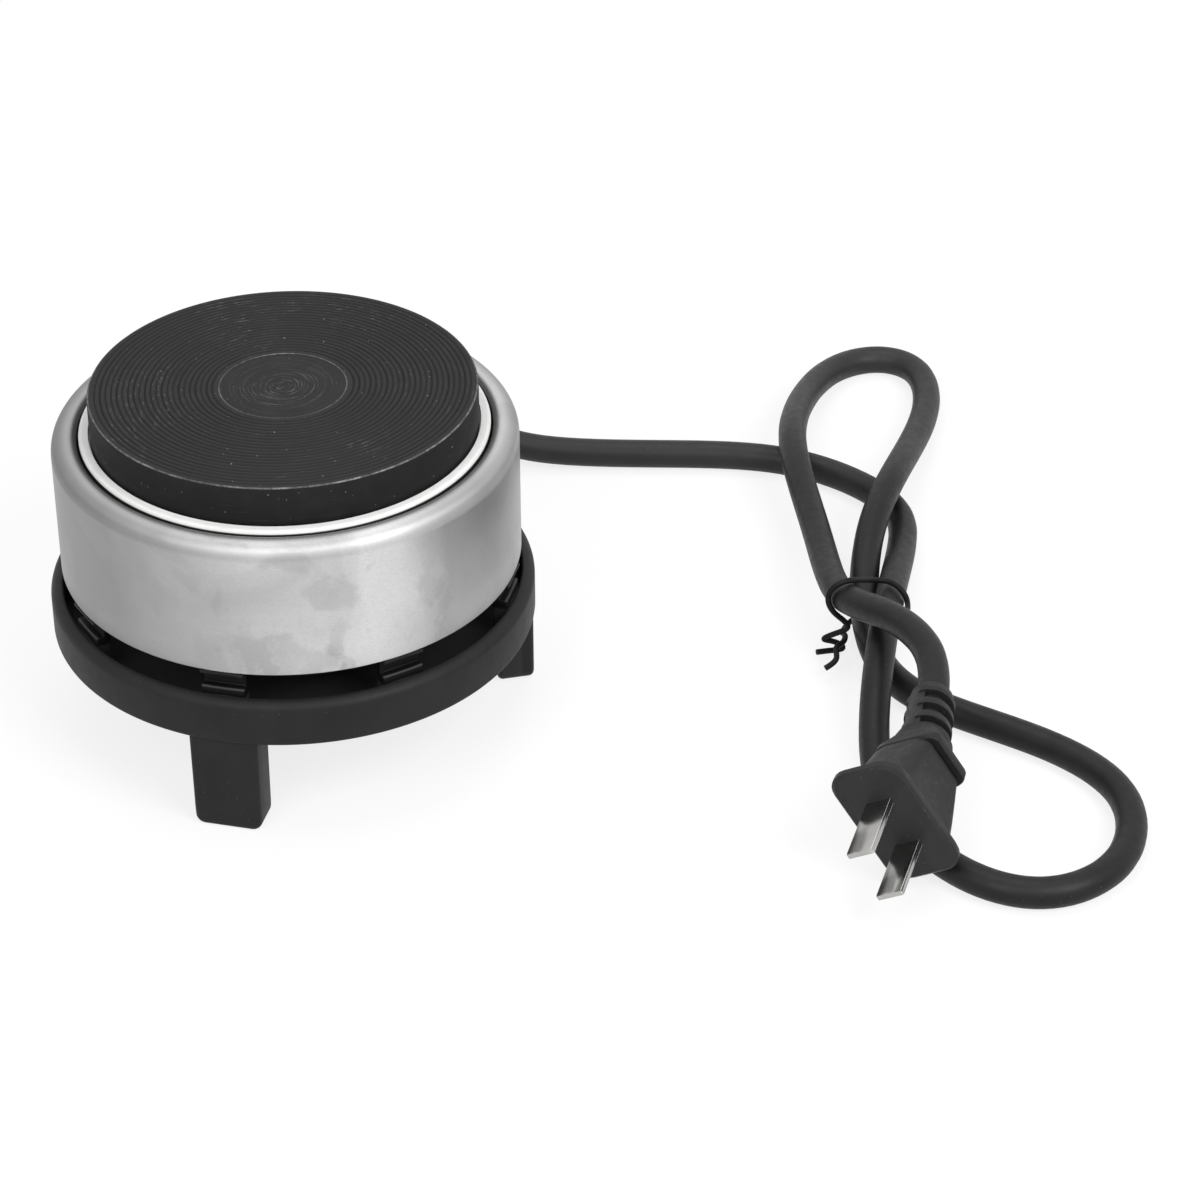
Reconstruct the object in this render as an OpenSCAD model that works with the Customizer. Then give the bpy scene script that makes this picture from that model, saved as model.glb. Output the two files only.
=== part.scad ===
// Portable hot plate: cast plate, ceramic core, drawn steel shell, moulded base and a tied cord.
// Millimetres. The origin is on the floor under the centre, +Z is up and the front looks along -Y.

/* [Heating plate] */
// Diameter of the heating plate
plate_d = 88; // [76:1:110]
// Height of the plate from its seat to its top
plate_h = 11; // [9:0.5:16]
// Thickness of the plate above its hollow underside
plate_top_t = 6; // [4:0.5:7]
// Thickness of the skirt around the hollow underside
plate_skirt_t = 5; // [3:0.5:8]
// Bevel around the top edge
plate_bevel = 0.6; // [0.2:0.1:1.5]
// Radius of the turned circle in the middle of the top
turned_r = 14.5; // [8:0.5:20]
// Distance from one turned groove to the next
turned_pitch = 2.4; // [1.5:0.1:5]
// Depth of the turned grooves
turned_depth = 0.25; // [0.1:0.05:0.6]
// Diameter of the threaded boss under the plate
plate_boss_d = 14; // [11:0.5:18]
// Height of the threaded boss
plate_boss_h = 4.5; // [3:0.5:6]

/* [Ceramic core] */
// Gap between the plate and the ceramic rim
plate_gap = 0.4; // [0.2:0.1:1]
// Width of the white ceramic rim
rim_w = 2.2; // [1.5:0.1:5]
// Height of the ceramic rim above the plate's seat
rim_rise = 1.6; // [0.8:0.1:3]
// Rounding of the rim's outer edge
rim_round = 0.9; // [0.3:0.1:1.2]
// Height of the plate's seat above the shell's ledge
core_seat_h = 5.8; // [4:0.2:10]
// Depth of the core below the shell's ledge
core_drop = 6; // [3:0.5:10]
// Thickness of the mica sheet
mica_t = 0.6; // [0.3:0.1:1]

/* [Heating coil] */
// Outer diameter of the wound coil
coil_d = 3.6; // [2.5:0.1:4]
// Radius of the coil's innermost turn
coil_in_r = 12.5; // [11:0.5:16]
// Turns of the spiral
coil_turns = 3.5; // [1.5:1:3.5]
// Distance from one turn to the next
coil_pitch = 6.4; // [5.6:0.1:6.6]
// Bearing of the coil's inner end
coil_start = 240; // [200:5:260]
// Room around the coil in its groove
coil_gap = 0.4; // [0.2:0.1:0.8]

/* [Shell] */
// Sheet thickness of the shell
shell_t = 0.6; // [0.4:0.1:1.2]
// Height of the shell
shell_h = 33.2; // [26:0.2:45]
// Gap between the ceramic rim and the shell's lip
lip_gap = 0.4; // [0.2:0.1:1.2]
// Width of the rolled lip
lip_w = 6; // [5:0.25:10]
// Radius of the shell's shoulder
shoulder_r = 4; // [2:0.25:4.2]
// Depth of the ledge that carries the ceramic core below the lip
well_depth = 7.2; // [5:0.2:10]
// Width of the ledge
ledge_w = 5; // [3.5:0.25:7]

/* [Base] */
// Distance from the shell's wall to the outside of the base
base_step = 3; // [2:0.25:6]
// Height of the base's rim
rim_h = 11.2; // [10.4:0.2:18]
// Wall thickness of the base
base_wall = 3; // [2:0.25:4]
// Thickness of the base's floor
floor_t = 2.4; // [1.6:0.1:4]
// Rounding of the base's lower edge
base_round = 1.2; // [0.4:0.1:1.4]
// Rounding of the rim's outer top edge
rim_top_round = 2.4; // [0.4:0.1:2.6]
// Height of the legs
leg_h = 24; // [18:0.5:40]
// Width of a leg
leg_w = 16; // [10:0.2:18]
// Depth of a leg
leg_t = 8.8; // [6:0.2:12]
// Rounding of the legs' upright corners
leg_round = 2; // [0.5:0.25:2.5]
// Bearing of the front leg
leg_turn = 256.5; // [250:0.5:260]
// Angle from the front leg to the right leg
leg_spread = 116.5; // [110:0.5:125]
// Number of posts that carry the shell
post_count = 8; // [4:4:8]
// Angle that a post takes up
post_angle = 11; // [8:0.5:14]
// Height of the shell's seat above the base's rim
post_rise = 6; // [4:0.2:12]
// Height of a post's step above the base's rim
post_step_h = 1.5; // [0.6:0.1:2.5]
// Gap between that step and the inside of the rim
post_free = 0.5; // [0.3:0.1:1]
// Thickness of a post above its step
post_t = 1.5; // [1.2:0.1:2]
// Thickness of the lip on a post that carries the shell
seat_lip = 1; // [0.8:0.1:1.4]
// Drop from the shell's seat to the top of the outlet's block
outlet_drop = 2.9; // [1:0.1:3.8]
// Height of the tongue that centres the shell
tongue_h = 4; // [2:0.5:8]
// Thickness of the tongue
tongue_t = 3; // [2:0.25:4]
// Gap between the tongue and the shell
tongue_gap = 0.3; // [0.1:0.1:0.8]

/* [Clamping] */
// Diameter of the centre stud
stud_d = 6; // [5:0.5:8]
// Room around the stud in plain holes
stud_gap = 0.4; // [0.2:0.1:0.8]
// Room around threads
thread_gap = 0.1; // [0.05:0.05:0.2]
// Length of the stud's thread in the plate
stud_in = 6.5; // [4:0.5:7.5]
// Thickness of the clamping bridge
bridge_t = 1.5; // [1:0.25:2.5]
// Width of the clamping bridge
bridge_w = 12; // [10:0.5:13]
// Gap between the ceramic core and the bridge
bridge_gap = 0.3; // [0.1:0.1:1]
// Thickness of a nut
nut_h = 5; // [3:0.5:7]
// Width of a nut across its flats
nut_af = 10; // [9:0.5:12]
// Thickness of a washer
washer_t = 1.2; // [0.8:0.1:2]
// Diameter of a washer
washer_d = 13; // [12:0.5:16]
// Length of stud that shows below the lower nut
stud_out = 1.5; // [0.5:0.5:4]

/* [Thermostat] */
// Distance of the thermostat's screw from the centre
stack_x = 24; // [20:0.5:28]
// Diameter of the thermostat's screw
stack_screw_d = 4; // [3:0.5:4.5]
// Thickness of the bimetal's mount
mount_t = 1; // [0.6:0.1:1.6]
// Thickness of a contact strap
strap_t = 0.8; // [0.5:0.1:1.2]
// Width of a contact strap
strap_w = 6; // [5:0.5:8]
// Thickness of the upper ceramic washer
stack_top_t = 3; // [2.4:0.2:5]
// Height of a contact button
button_h = 0.9; // [0.6:0.1:1.4]
// Thickness of the lowest ceramic washer
stack_low_t = 2; // [1:0.2:4]
// Diameter of the ceramic washers
stack_d = 9; // [7:0.5:11]
// Length of the bimetal strip and the contact leaf
blade_l = 21.7; // [18:0.1:24]
// Thickness of the bimetal strip
bimetal_t = 0.8; // [0.5:0.1:0.9]
// Thickness of the contact leaf
leaf_t = 0.5; // [0.3:0.1:0.7]
// Gap between a blade's root and what carries it
root_gap = 0.3; // [0.2:0.05:0.5]
// Diameter of the ceramic push bead
bead_d = 3; // [2:0.25:4]
// Gap between the cold bead and the contact leaf
bead_gap = 0.3; // [0.2:0.1:0.6]

/* [Terminal block] */
// Width of the terminal block across the cord
block_w = 20; // [16:0.5:24]
// Length of the terminal block along the cord
block_l = 12; // [10:0.5:14]
// Height of the terminal block
block_h = 12; // [9:0.5:14]
// Room between the terminal block and the cord's jacket
core_run = 7; // [5:0.5:8]
// Distance of a wire entry from the block's middle
block_way = 5; // [4:0.5:6]
// Diameter of an insulated wire
wire_d = 2.4; // [1.6:0.2:3]
// Room around a wire in its entry
wire_gap = 0.4; // [0.2:0.1:0.8]
// Diameter of the small screws
screw_d = 3; // [2.5:0.5:3.5]
// Diameter of the small screws' heads
screw_head_d = 5.5; // [5:0.25:6]
// Height of the small screws' heads
screw_head_h = 1.8; // [1.2:0.2:3]

/* [Cord] */
// Diameter of the cord
cord_d = 7.2; // [6:0.1:7.2]
// Bearing of the cord's outlet
outlet_turn = 75; // [75:1:75]
// Height of the outlet above the base's underside
outlet_h = 6.2; // [6.2:0.1:7]
// Room between the cord clamp and the outlet's post
clamp_room = 4.1; // [2:0.1:5]
// Length of the cord's jacket past the clamp
jacket_out = 5; // [3:0.5:6]
// Width of the cord clamp along the cord
clamp_l = 7; // [5:0.5:9]
// Distance of a clamp screw from the cord
clamp_v = 7.8; // [7.6:0.2:9]
// Height of the clamp's bridge above the cord
clamp_top_t = 1.8; // [1:0.2:3]
// Length of the strain relief outside the base
relief_l = 22; // [20:1:30]
// Wall of the strain relief at its tip
relief_tip = 1; // [0.6:0.1:1.6]
// Wall of the strain relief at its collar
relief_root = 2.2; // [1.6:0.1:2.6]
// Room around the cord in the strain relief
cord_gap = 0.2; // [0.1:0.05:0.4]

/* [Plug] */
// Length of the plug's flange across both blades
flange_l = 31; // [28:0.5:34]
// Width of the plug's flange
flange_w = 18.5; // [17.5:0.5:22]
// Thickness of the plug's flange
flange_t = 4; // [3:0.25:5]
// Rounding of the flange's corners
flange_round = 5; // [2:0.5:7]
// Length of the grip behind the flange
grip_l = 23; // [20:0.5:26]
// Width of the grip at the flange
grip_w = 22.5; // [18:0.5:25]
// Width of the grip at its ridge
grip_end_w = 15; // [13:0.5:18]
// Thickness of the grip at the flange
grip_t = 17; // [14:0.5:17]
// Thickness of the grip at its ridge
grip_end_t = 15.5; // [13:0.5:16.5]
// Distance from the flange to the ridge
ridge_back = 15.5; // [12:0.5:17]
// Thickness of the ridge along the plug
ridge_t = 2.5; // [1.5:0.25:4]
// Height of the ridge above the grip
ridge_proud = 1; // [0.4:0.1:1.5]
// Length of the ribbed neck
neck_l = 17; // [14:0.5:20]
// Bend of the neck towards the cord
neck_tilt = 10; // [0:1:12]
// Number of ribs on the neck
neck_ribs = 4; // [3:1:6]
// Width of a blade
blade_w = 6.35; // [6.2:0.05:6.5]
// Thickness of a blade
blade_t = 1.5; // [1.4:0.05:1.6]
// Distance between the blades' middles
blade_gap = 12.7; // [12.6:0.05:12.8]
// Length of a blade outside the plug
blade_out = 15.5; // [14:0.5:18]
// Length of a blade inside the plug
blade_in = 9; // [6:0.5:12]

/* [Tie] */
// Diameter of the coated tie wire
tie_d = 1.4; // [1:0.1:1.6]

/* [Hidden] */
$fn = 96;
eps = 0.01;
over = 1;

// Radii from the plate outwards
plate_r = plate_d / 2;
rim_in_r = plate_r + plate_gap;
rim_r = rim_in_r + rim_w;
lip_r = rim_r + lip_gap;
shell_r = lip_r + lip_w;
base_r = shell_r + base_step;
curl_r = lip_w - shoulder_r;
ledge_r = lip_r - ledge_w;
core_low_r = ledge_r - lip_gap;
hollow_r = plate_r - plate_skirt_t;
mica_gap = 0.5;
mica_r = hollow_r - mica_gap;
plate_boss_r = plate_boss_d / 2;

// Heights from the floor upwards
base_z = leg_h;
floor_z = base_z + floor_t;
rim_z = base_z + rim_h;
seat_z = rim_z + post_rise;
lip_z = seat_z + shell_h;
ledge_z = lip_z - well_depth;
plate_z = ledge_z + core_seat_h;
top_z = plate_z + plate_h;
ceiling_z = top_z - plate_top_t;
boss_z = ceiling_z - plate_boss_h;
core_top_z = ceiling_z - mica_t;
core_low_z = ledge_z - core_drop;
bridge_z = core_low_z - bridge_gap - bridge_t;
bridge_nut_z = bridge_z - washer_t - nut_h;
base_nut_z = base_z - washer_t - nut_h;
stud_z = base_nut_z - stud_out;

// Frame of the cord's outlet: u runs outwards, v runs across
function outlet(u, v, z) = [
  u * cos(outlet_turn) - v * sin(outlet_turn),
  u * sin(outlet_turn) + v * cos(outlet_turn),
  z
];
outlet_z = base_z + outlet_h;
cord_r = cord_d / 2;
tongue_r = shell_r - shell_t - tongue_gap;
post_in_r = tongue_r - tongue_t;
clamp_u = post_in_r - clamp_room - clamp_l / 2;
cord_in = clamp_u - clamp_l / 2 - jacket_out;
block_u = cord_in - core_run - block_l / 2;

// Smooth open curve that runs near its points and starts and ends on them
function blend(a, b, c, d, t) =
  (pow(1 - t, 3) * a + (3 * pow(t, 3) - 6 * t * t + 4) * b
  + (3 * t + 3 * t * t - 3 * pow(t, 3) + 1) * c + pow(t, 3) * d) / 6;
function at(p, i) =
  i < 0 ? 2 * p[0] - p[1]
  : i >= len(p) ? 2 * p[len(p) - 1] - p[len(p) - 2]
  : p[i];
function curve(p, steps) = [
  for (i = [0 : len(p) - 2], k = [0 : steps - 1])
    blend(at(p, i - 1), p[i], p[i + 1], at(p, i + 2), k / steps),
  p[len(p) - 1]
];

// Directions along a row of points, and normals carried along them without twist
function unit(v) = v / norm(v);
function headings(p) = [
  for (i = [0 : len(p) - 1])
    unit(p[min(i + 1, len(p) - 1)] - p[max(i - 1, 0)])
];
function square_to(v, t) = unit(v - t * (v * t));
function normals(t, first) = [
  for (i = 0, n = square_to(first, t[0]); i < len(t); i = i + 1, n = square_to(n, t[min(i, len(t) - 1)])) n
];

// Tube of a given radius and number of sides along a row of points
module tube(p, r, sides, first = [0, 0, 1], turn = 0) {
  t = headings(p);
  n = normals(t, first);
  rings = [
    for (i = [0 : len(p) - 1], k = [0 : sides - 1])
      let (a = turn + 360 * k / sides)
        p[i] + r * (cos(a) * n[i] + sin(a) * cross(t[i], n[i]))
  ];
  last = len(p) - 1;
  walls = [
    for (i = [0 : last - 1], k = [0 : sides - 1])
      let (a = i * sides + k, b = i * sides + (k + 1) % sides)
        each [[a, a + sides, b], [b, a + sides, b + sides]]
  ];
  near_end = [for (k = [1 : sides - 2]) [0, k, k + 1]];
  far_end = [for (k = [1 : sides - 2]) [last * sides, last * sides + k + 1, last * sides + k]];
  polyhedron(rings, concat(walls, near_end, far_end));
}

// Shared small shapes
module disc(d, hole, h) {
  difference() {
    cylinder(d = d, h = h);
    translate([0, 0, -eps]) cylinder(d = hole, h = h + 2 * eps);
  }
}
module nut(hole) {
  difference() {
    cylinder(d = nut_af / cos(30), h = nut_h, $fn = 6);
    translate([0, 0, -eps]) cylinder(d = hole, h = nut_h + 2 * eps);
  }
}
module round_rect(x, y, r) {
  square([x - 2 * r, y], center = true);
  square([x, y - 2 * r], center = true);
  for (sx = [-1, 1], sy = [-1, 1]) translate([sx * (x / 2 - r), sy * (y / 2 - r)]) circle(r);
}
module screw(d, l, head_d, head_h) {
  translate([0, 0, -l]) cylinder(d = d, h = l + eps);
  cylinder(d = head_d, h = head_h);
}
function arc(x, y, r, from, to, steps = 6) = [
  for (k = [0 : steps])
    let (a = from + (to - from) * k / steps)
      [x + r * cos(a), y + r * sin(a)]
];
module outlet_frame() {
  rotate([0, 0, outlet_turn]) children();
}

// Cast plate with a hollow underside and a threaded boss
turned_last = plate_r - plate_bevel - turned_pitch / 2;
module heating_plate() {
  color([0.13, 0.13, 0.135])
  difference() {
    rotate_extrude() polygon([
      [0, boss_z],
      [plate_boss_r, boss_z],
      [plate_boss_r, ceiling_z],
      [hollow_r, ceiling_z],
      [hollow_r, plate_z],
      [plate_r, plate_z],
      [plate_r, top_z - plate_bevel],
      [plate_r - plate_bevel, top_z],
      [0, top_z]
    ]);
    translate([0, 0, boss_z - eps]) cylinder(d = stud_d + 2 * thread_gap, h = stud_in + eps);
    for (r = [turned_r : turned_pitch : turned_last])
      rotate_extrude() translate([r, top_z])
        polygon([[-turned_depth, eps], [0, -turned_depth], [turned_depth, eps]]);
  }
}

// Insulating sheet between the coil and the plate
module mica_sheet() {
  color([0.75, 0.66, 0.45])
  translate([0, 0, core_top_z]) disc(2 * mica_r, plate_boss_d + 2 * mica_gap, mica_t);
}

// Spiral of the heating coil, seen from above
coil_z = core_top_z - coil_gap - coil_d / 2;
coil_steps = 20;
tail_l = 6;
tail_z = core_low_z - tail_l;
function coil_at(turns) =
  let (r = coil_in_r + coil_pitch * turns, a = coil_start + 360 * turns)
    [r * cos(a), r * sin(a), coil_z];
coil_spiral = [for (k = [0 : coil_turns * coil_steps]) coil_at(k / coil_steps)];
coil_first = coil_spiral[0];
coil_last = coil_spiral[len(coil_spiral) - 1];
function at_height(p, z) = [p[0], p[1], z];
coil_path = concat(
  [at_height(coil_first, tail_z), at_height(coil_first, coil_z - coil_d)],
  coil_spiral,
  [at_height(coil_last, coil_z - coil_d), at_height(coil_last, tail_z)]
);
groove_w = coil_d + 2 * coil_gap;
groove_rise = 0.2;
tail_room = 0.3;
tail_hole_d = groove_w + 2 * tail_room;

// White core with the coil's groove, the plate's seat and the rim that shows
module ceramic_core() {
  color([0.93, 0.92, 0.88])
  difference() {
    rotate_extrude() polygon(concat(
      [
        [stud_d / 2 + stud_gap, core_low_z],
        [core_low_r, core_low_z],
        [core_low_r, ledge_z],
        [rim_r, ledge_z]
      ],
      arc(rim_r - rim_round, plate_z + rim_rise - rim_round, rim_round, 0, 90),
      [
        [rim_in_r, plate_z + rim_rise],
        [rim_in_r, plate_z],
        [mica_r, plate_z],
        [mica_r, core_top_z],
        [plate_boss_r + mica_gap, core_top_z],
        [plate_boss_r + mica_gap, boss_z - mica_gap],
        [stud_d / 2 + stud_gap, boss_z - mica_gap]
      ]
    ));
    tube(
      [for (p = coil_spiral) at_height(p, core_top_z + groove_rise - groove_w / 2)],
      groove_w / sqrt(2), 4, [0, 0, 1], 45
    );
    for (p = [coil_first, coil_last])
      translate([p[0], p[1], core_low_z - eps])
        cylinder(d = tail_hole_d, h = core_top_z - core_low_z + over);
  }
}
module heating_coil() {
  color([0.55, 0.5, 0.46]) tube(coil_path, coil_d / 2, 6, [1, 0, 0]);
}

// Drawn shell: wall, rolled lip, well and the ledge that carries the core
module shell_section() {
  translate([shell_r - shell_t, seat_z]) square([shell_t, shell_h - shoulder_r]);
  translate([shell_r - shoulder_r, lip_z - shoulder_r]) intersection() {
    difference() {
      circle(shoulder_r);
      circle(shoulder_r - shell_t);
    }
    square(shoulder_r);
  }
  translate([lip_r + curl_r, lip_z - curl_r]) intersection() {
    difference() {
      circle(curl_r);
      circle(curl_r - shell_t);
    }
    translate([-curl_r, 0]) square(curl_r);
  }
  translate([lip_r, ledge_z - shell_t]) square([shell_t, well_depth - curl_r + shell_t]);
  translate([ledge_r, ledge_z - shell_t]) square([ledge_w + shell_t, shell_t]);
}
module steel_shell() {
  color([0.76, 0.76, 0.75]) rotate_extrude() shell_section();
}

// Base in one moulding: floor, rim, posts, legs, cord outlet and bosses
base_in_r = base_r - base_wall;
rim_land = 0.4;
top_round = min(rim_top_round, base_wall - rim_land);
post_root = 0.75;
post_step_r = base_in_r - post_free;
step_land = 0.4;
post_face_r = min(post_in_r + post_t, post_step_r - step_land);
outlet_block_in = 0.2;
outlet_block_r = base_r - outlet_block_in;
outlet_block_z = seat_z - outlet_drop;
center_boss_h = 3;
outlet_post_angle = 22;
relief_neck_r = cord_r + cord_gap + relief_tip;
relief_hole_r = relief_neck_r + thread_gap;
clamp_boss_d = 6.4;
clamp_seat_z = outlet_z;
module sector(angle, front) {
  rotate([0, 0, -angle / 2]) rotate_extrude(angle = angle) polygon(concat(
    [[post_in_r, floor_z - eps]],
    front,
    [
      [shell_r, seat_z],
      [tongue_r, seat_z],
      [tongue_r, seat_z + tongue_h],
      [post_in_r, seat_z + tongue_h]
    ]
  ));
}
module post() {
  sector(post_angle, [
    [base_in_r + post_root, floor_z - eps],
    [base_in_r + post_root, rim_z - post_free],
    [post_step_r, rim_z - post_free],
    [post_step_r, rim_z + post_step_h],
    [post_face_r, rim_z + post_step_h],
    [post_face_r, seat_z - seat_lip],
    [shell_r, seat_z - seat_lip]
  ]);
}
module outlet_post() {
  sector(outlet_post_angle, [
    [outlet_block_r, floor_z - eps],
    [outlet_block_r, outlet_block_z],
    [shell_r, outlet_block_z]
  ]);
}
leg_turns = [leg_turn, leg_turn + leg_spread, leg_turn + leg_spread / 2 + 180];
leg_inset = 0.2;
leg_out_r = sqrt(base_r * base_r - leg_w * leg_w / 4) - leg_inset;
module leg() {
  translate([leg_out_r - leg_t / 2, 0, 0])
    linear_extrude(leg_h + floor_t / 2) round_rect(leg_t, leg_w, leg_round);
}
module base() {
  color([0.1, 0.1, 0.1])
  difference() {
    union() {
      rotate_extrude() polygon(concat(
        [[stud_d / 2 + stud_gap, base_z]],
        arc(base_r - base_round, base_z + base_round, base_round, -90, 0),
        arc(base_r - top_round, rim_z - top_round, top_round, 0, 90),
        [
          [base_in_r, rim_z],
          [base_in_r, floor_z],
          [washer_d / 2, floor_z],
          [washer_d / 2, floor_z + center_boss_h],
          [stud_d / 2 + stud_gap, floor_z + center_boss_h]
        ]
      ));
      for (k = [0 : post_count - 1])
        if (k != post_count / 2) rotate([0, 0, leg_turn + 360 * k / post_count]) post();
      outlet_frame() outlet_post();
      for (a = leg_turns) rotate([0, 0, a]) leg();
      outlet_frame() for (s = [-1, 1])
        translate([clamp_u, s * clamp_v, base_z + floor_t / 2])
          cylinder(d = clamp_boss_d, h = clamp_seat_z - base_z - floor_t / 2);
    }
    outlet_frame() translate([post_in_r - over, 0, outlet_z]) rotate([0, 90, 0])
      cylinder(r = relief_hole_r, h = base_r - post_in_r + 2 * over);
    outlet_frame() for (s = [-1, 1])
      translate([clamp_u, s * clamp_v, floor_z]) cylinder(d = screw_d + 2 * thread_gap, h = rim_h);
    outlet_frame() translate([block_u, 0, base_z - eps])
      cylinder(d = screw_d + 2 * thread_gap, h = floor_t + 2 * eps);
  }
}

// Stud, bridge, washers and nuts that hold the stack together
module center_stud() {
  color([0.7, 0.7, 0.68])
  translate([0, 0, stud_z]) cylinder(d = stud_d, h = boss_z + stud_in - stud_z - mica_gap);
}
bridge_foot_r = lip_r - shell_t;
bridge_foot_run = 1;
bridge_leg_r = ledge_r + bridge_foot_run;
bridge_top_z = ledge_z - shell_t;
module clamp_bridge() {
  color([0.66, 0.67, 0.68])
  difference() {
    union() {
      translate([-bridge_leg_r - bridge_t, -bridge_w / 2, bridge_z])
        cube([2 * (bridge_leg_r + bridge_t), bridge_w, bridge_t]);
      for (s = [0, 1]) mirror([s, 0, 0]) {
        translate([bridge_leg_r, -bridge_w / 2, bridge_z])
          cube([bridge_t, bridge_w, bridge_top_z - bridge_z]);
        translate([bridge_leg_r, -bridge_w / 2, bridge_top_z - bridge_t])
          cube([bridge_foot_r - bridge_leg_r, bridge_w, bridge_t]);
      }
    }
    translate([0, 0, bridge_z - eps]) cylinder(d = stud_d + 2 * stud_gap, h = bridge_t + 2 * eps);
    translate([stack_x, 0, bridge_z - eps])
      cylinder(d = stack_screw_d + 2 * thread_gap, h = bridge_t + 2 * eps);
  }
}
module bridge_washer() {
  color([0.72, 0.72, 0.7])
  translate([0, 0, bridge_z - washer_t]) disc(washer_d, stud_d + 2 * stud_gap, washer_t);
}
module bridge_nut() {
  color([0.7, 0.7, 0.68]) translate([0, 0, bridge_nut_z]) nut(stud_d + 2 * thread_gap);
}
module base_washer() {
  color([0.72, 0.72, 0.7])
  translate([0, 0, base_z - washer_t]) disc(washer_d, stud_d + 2 * stud_gap, washer_t);
}
module base_nut() {
  color([0.7, 0.7, 0.68]) translate([0, 0, base_nut_z]) nut(stud_d + 2 * thread_gap);
}

// Thermostat stack under the bridge, with its blades towards -Y
mount_z = bridge_z - mount_t;
fixed_z = mount_z - stack_top_t - strap_t;
contact_gap = 0.05;
leaf_top_z = fixed_z - 2 * button_h - contact_gap;
leaf_strap_z = leaf_top_z - strap_t;
stack_low_z = leaf_strap_z - stack_low_t;
root_run = 3.5;
root_y = -stack_d / 2 - root_run;
hinge_y = root_y - root_gap;
tip_y = hinge_y - blade_l;
bead_inset = 3;
bead_y = tip_y + bead_inset;
button_y = hinge_y - blade_l / 2;
button_d = 3;
tab_run = 12;
tab_y = stack_d / 2 + tab_run;
leaf_tab_run = 5.5;
leaf_tab_y = stack_d / 2 + leaf_tab_run;
leaf_side = 0.5;
stack_head_inset = 1;
stack_hole_d = stack_screw_d + 2 * stud_gap;
module strip(from_y, to_y, z, t, w = strap_w) {
  translate([stack_x - w / 2, to_y, z]) cube([w, from_y - to_y, t]);
}
module stack_hole(z, t) {
  translate([stack_x, 0, z - eps]) cylinder(d = stack_hole_d, h = t + 2 * eps);
}
module thermostat_screw() {
  color([0.7, 0.7, 0.68])
  translate([stack_x, 0, stack_low_z]) rotate([180, 0, 0])
    screw(stack_screw_d, bridge_z + bridge_t - stack_low_z, stack_d - 2 * stack_head_inset, screw_head_h);
}
module stack_washers() {
  color([0.9, 0.88, 0.82])
  translate([stack_x, 0, 0]) {
    translate([0, 0, fixed_z + strap_t]) disc(stack_d, stack_hole_d, stack_top_t);
    translate([0, 0, leaf_top_z]) disc(stack_d, stack_hole_d, fixed_z - leaf_top_z);
    translate([0, 0, stack_low_z]) disc(stack_d, stack_hole_d, stack_low_t);
  }
}
module bimetal_mount() {
  color([0.66, 0.67, 0.68])
  difference() {
    strip(stack_d / 2, root_y, mount_z, mount_t);
    stack_hole(mount_z, mount_t);
  }
}
module bimetal_strip() {
  color([0.72, 0.6, 0.42]) strip(hinge_y, tip_y, mount_z, bimetal_t);
}
module push_bead() {
  color([0.92, 0.9, 0.84])
  translate([stack_x, bead_y, leaf_top_z + bead_gap])
    cylinder(d = bead_d, h = mount_z - leaf_top_z - bead_gap);
}
module fixed_contact() {
  color([0.8, 0.62, 0.3])
  difference() {
    union() {
      strip(tab_y, button_y - button_d, fixed_z, strap_t);
      translate([stack_x, button_y, fixed_z - button_h])
        cylinder(d = button_d, h = button_h + strap_t / 2);
    }
    stack_hole(fixed_z, strap_t);
  }
}
module leaf_strap() {
  color([0.8, 0.62, 0.3])
  difference() {
    strip(leaf_tab_y, root_y, leaf_strap_z, strap_t);
    stack_hole(leaf_strap_z, strap_t);
  }
}
module contact_leaf() {
  color([0.78, 0.55, 0.35]) {
    strip(hinge_y, tip_y, leaf_top_z - leaf_t, leaf_t, strap_w - 2 * leaf_side);
    translate([stack_x, button_y, leaf_top_z - leaf_t / 2])
      cylinder(d = button_d, h = button_h + leaf_t / 2);
  }
}

// Ceramic terminal block on the base's floor, its screws and the cord's cores
way_z = floor_z + block_h / 2;
entry_d = wire_d + 2 * wire_gap;
entry_depth = 4;
way_web = 1;
block_round = 1;
block_head_rim = 0.75;
block_head_d = screw_d + 2 * block_head_rim;
core_v = 1.6;
core_bend = 2;
module terminal_block() {
  color([0.92, 0.91, 0.86])
  outlet_frame() translate([block_u, 0, floor_z]) difference() {
    linear_extrude(block_h) round_rect(block_l, block_w, block_round);
    for (s = [-1, 1], side = [0, 1])
      mirror([side, 0, 0]) translate([block_l / 2 - entry_depth, s * block_way, block_h / 2])
        rotate([0, 90, 0]) cylinder(d = entry_d, h = entry_depth + eps);
    for (s = [-1, 1], side = [-1, 1])
      translate([side * block_l / 4, s * block_way, block_h / 2 + entry_d / 2 + way_web])
        cylinder(d = screw_d + 2 * thread_gap, h = block_h);
    translate([0, 0, -eps]) cylinder(d = screw_d + 2 * thread_gap, h = block_h + over);
  }
}
module terminal_screws() {
  color([0.75, 0.6, 0.3])
  outlet_frame() for (s = [-1, 1], side = [-1, 1])
    translate([block_u + side * block_l / 4, s * block_way, floor_z + block_h])
      screw(screw_d, block_h / 2 - entry_d / 2 - way_web, block_head_d, screw_head_h);
}
module block_screw() {
  color([0.7, 0.7, 0.68])
  outlet_frame() translate([block_u, 0, floor_z + block_h])
    screw(screw_d, block_h + floor_t, block_head_d, screw_head_h);
}
wire_sides = 8;
wire_steps = 3;
wire_run = entry_depth - wire_gap;
block_out_u = block_u + block_l / 2;
block_in_u = block_u - block_l / 2;
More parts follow.
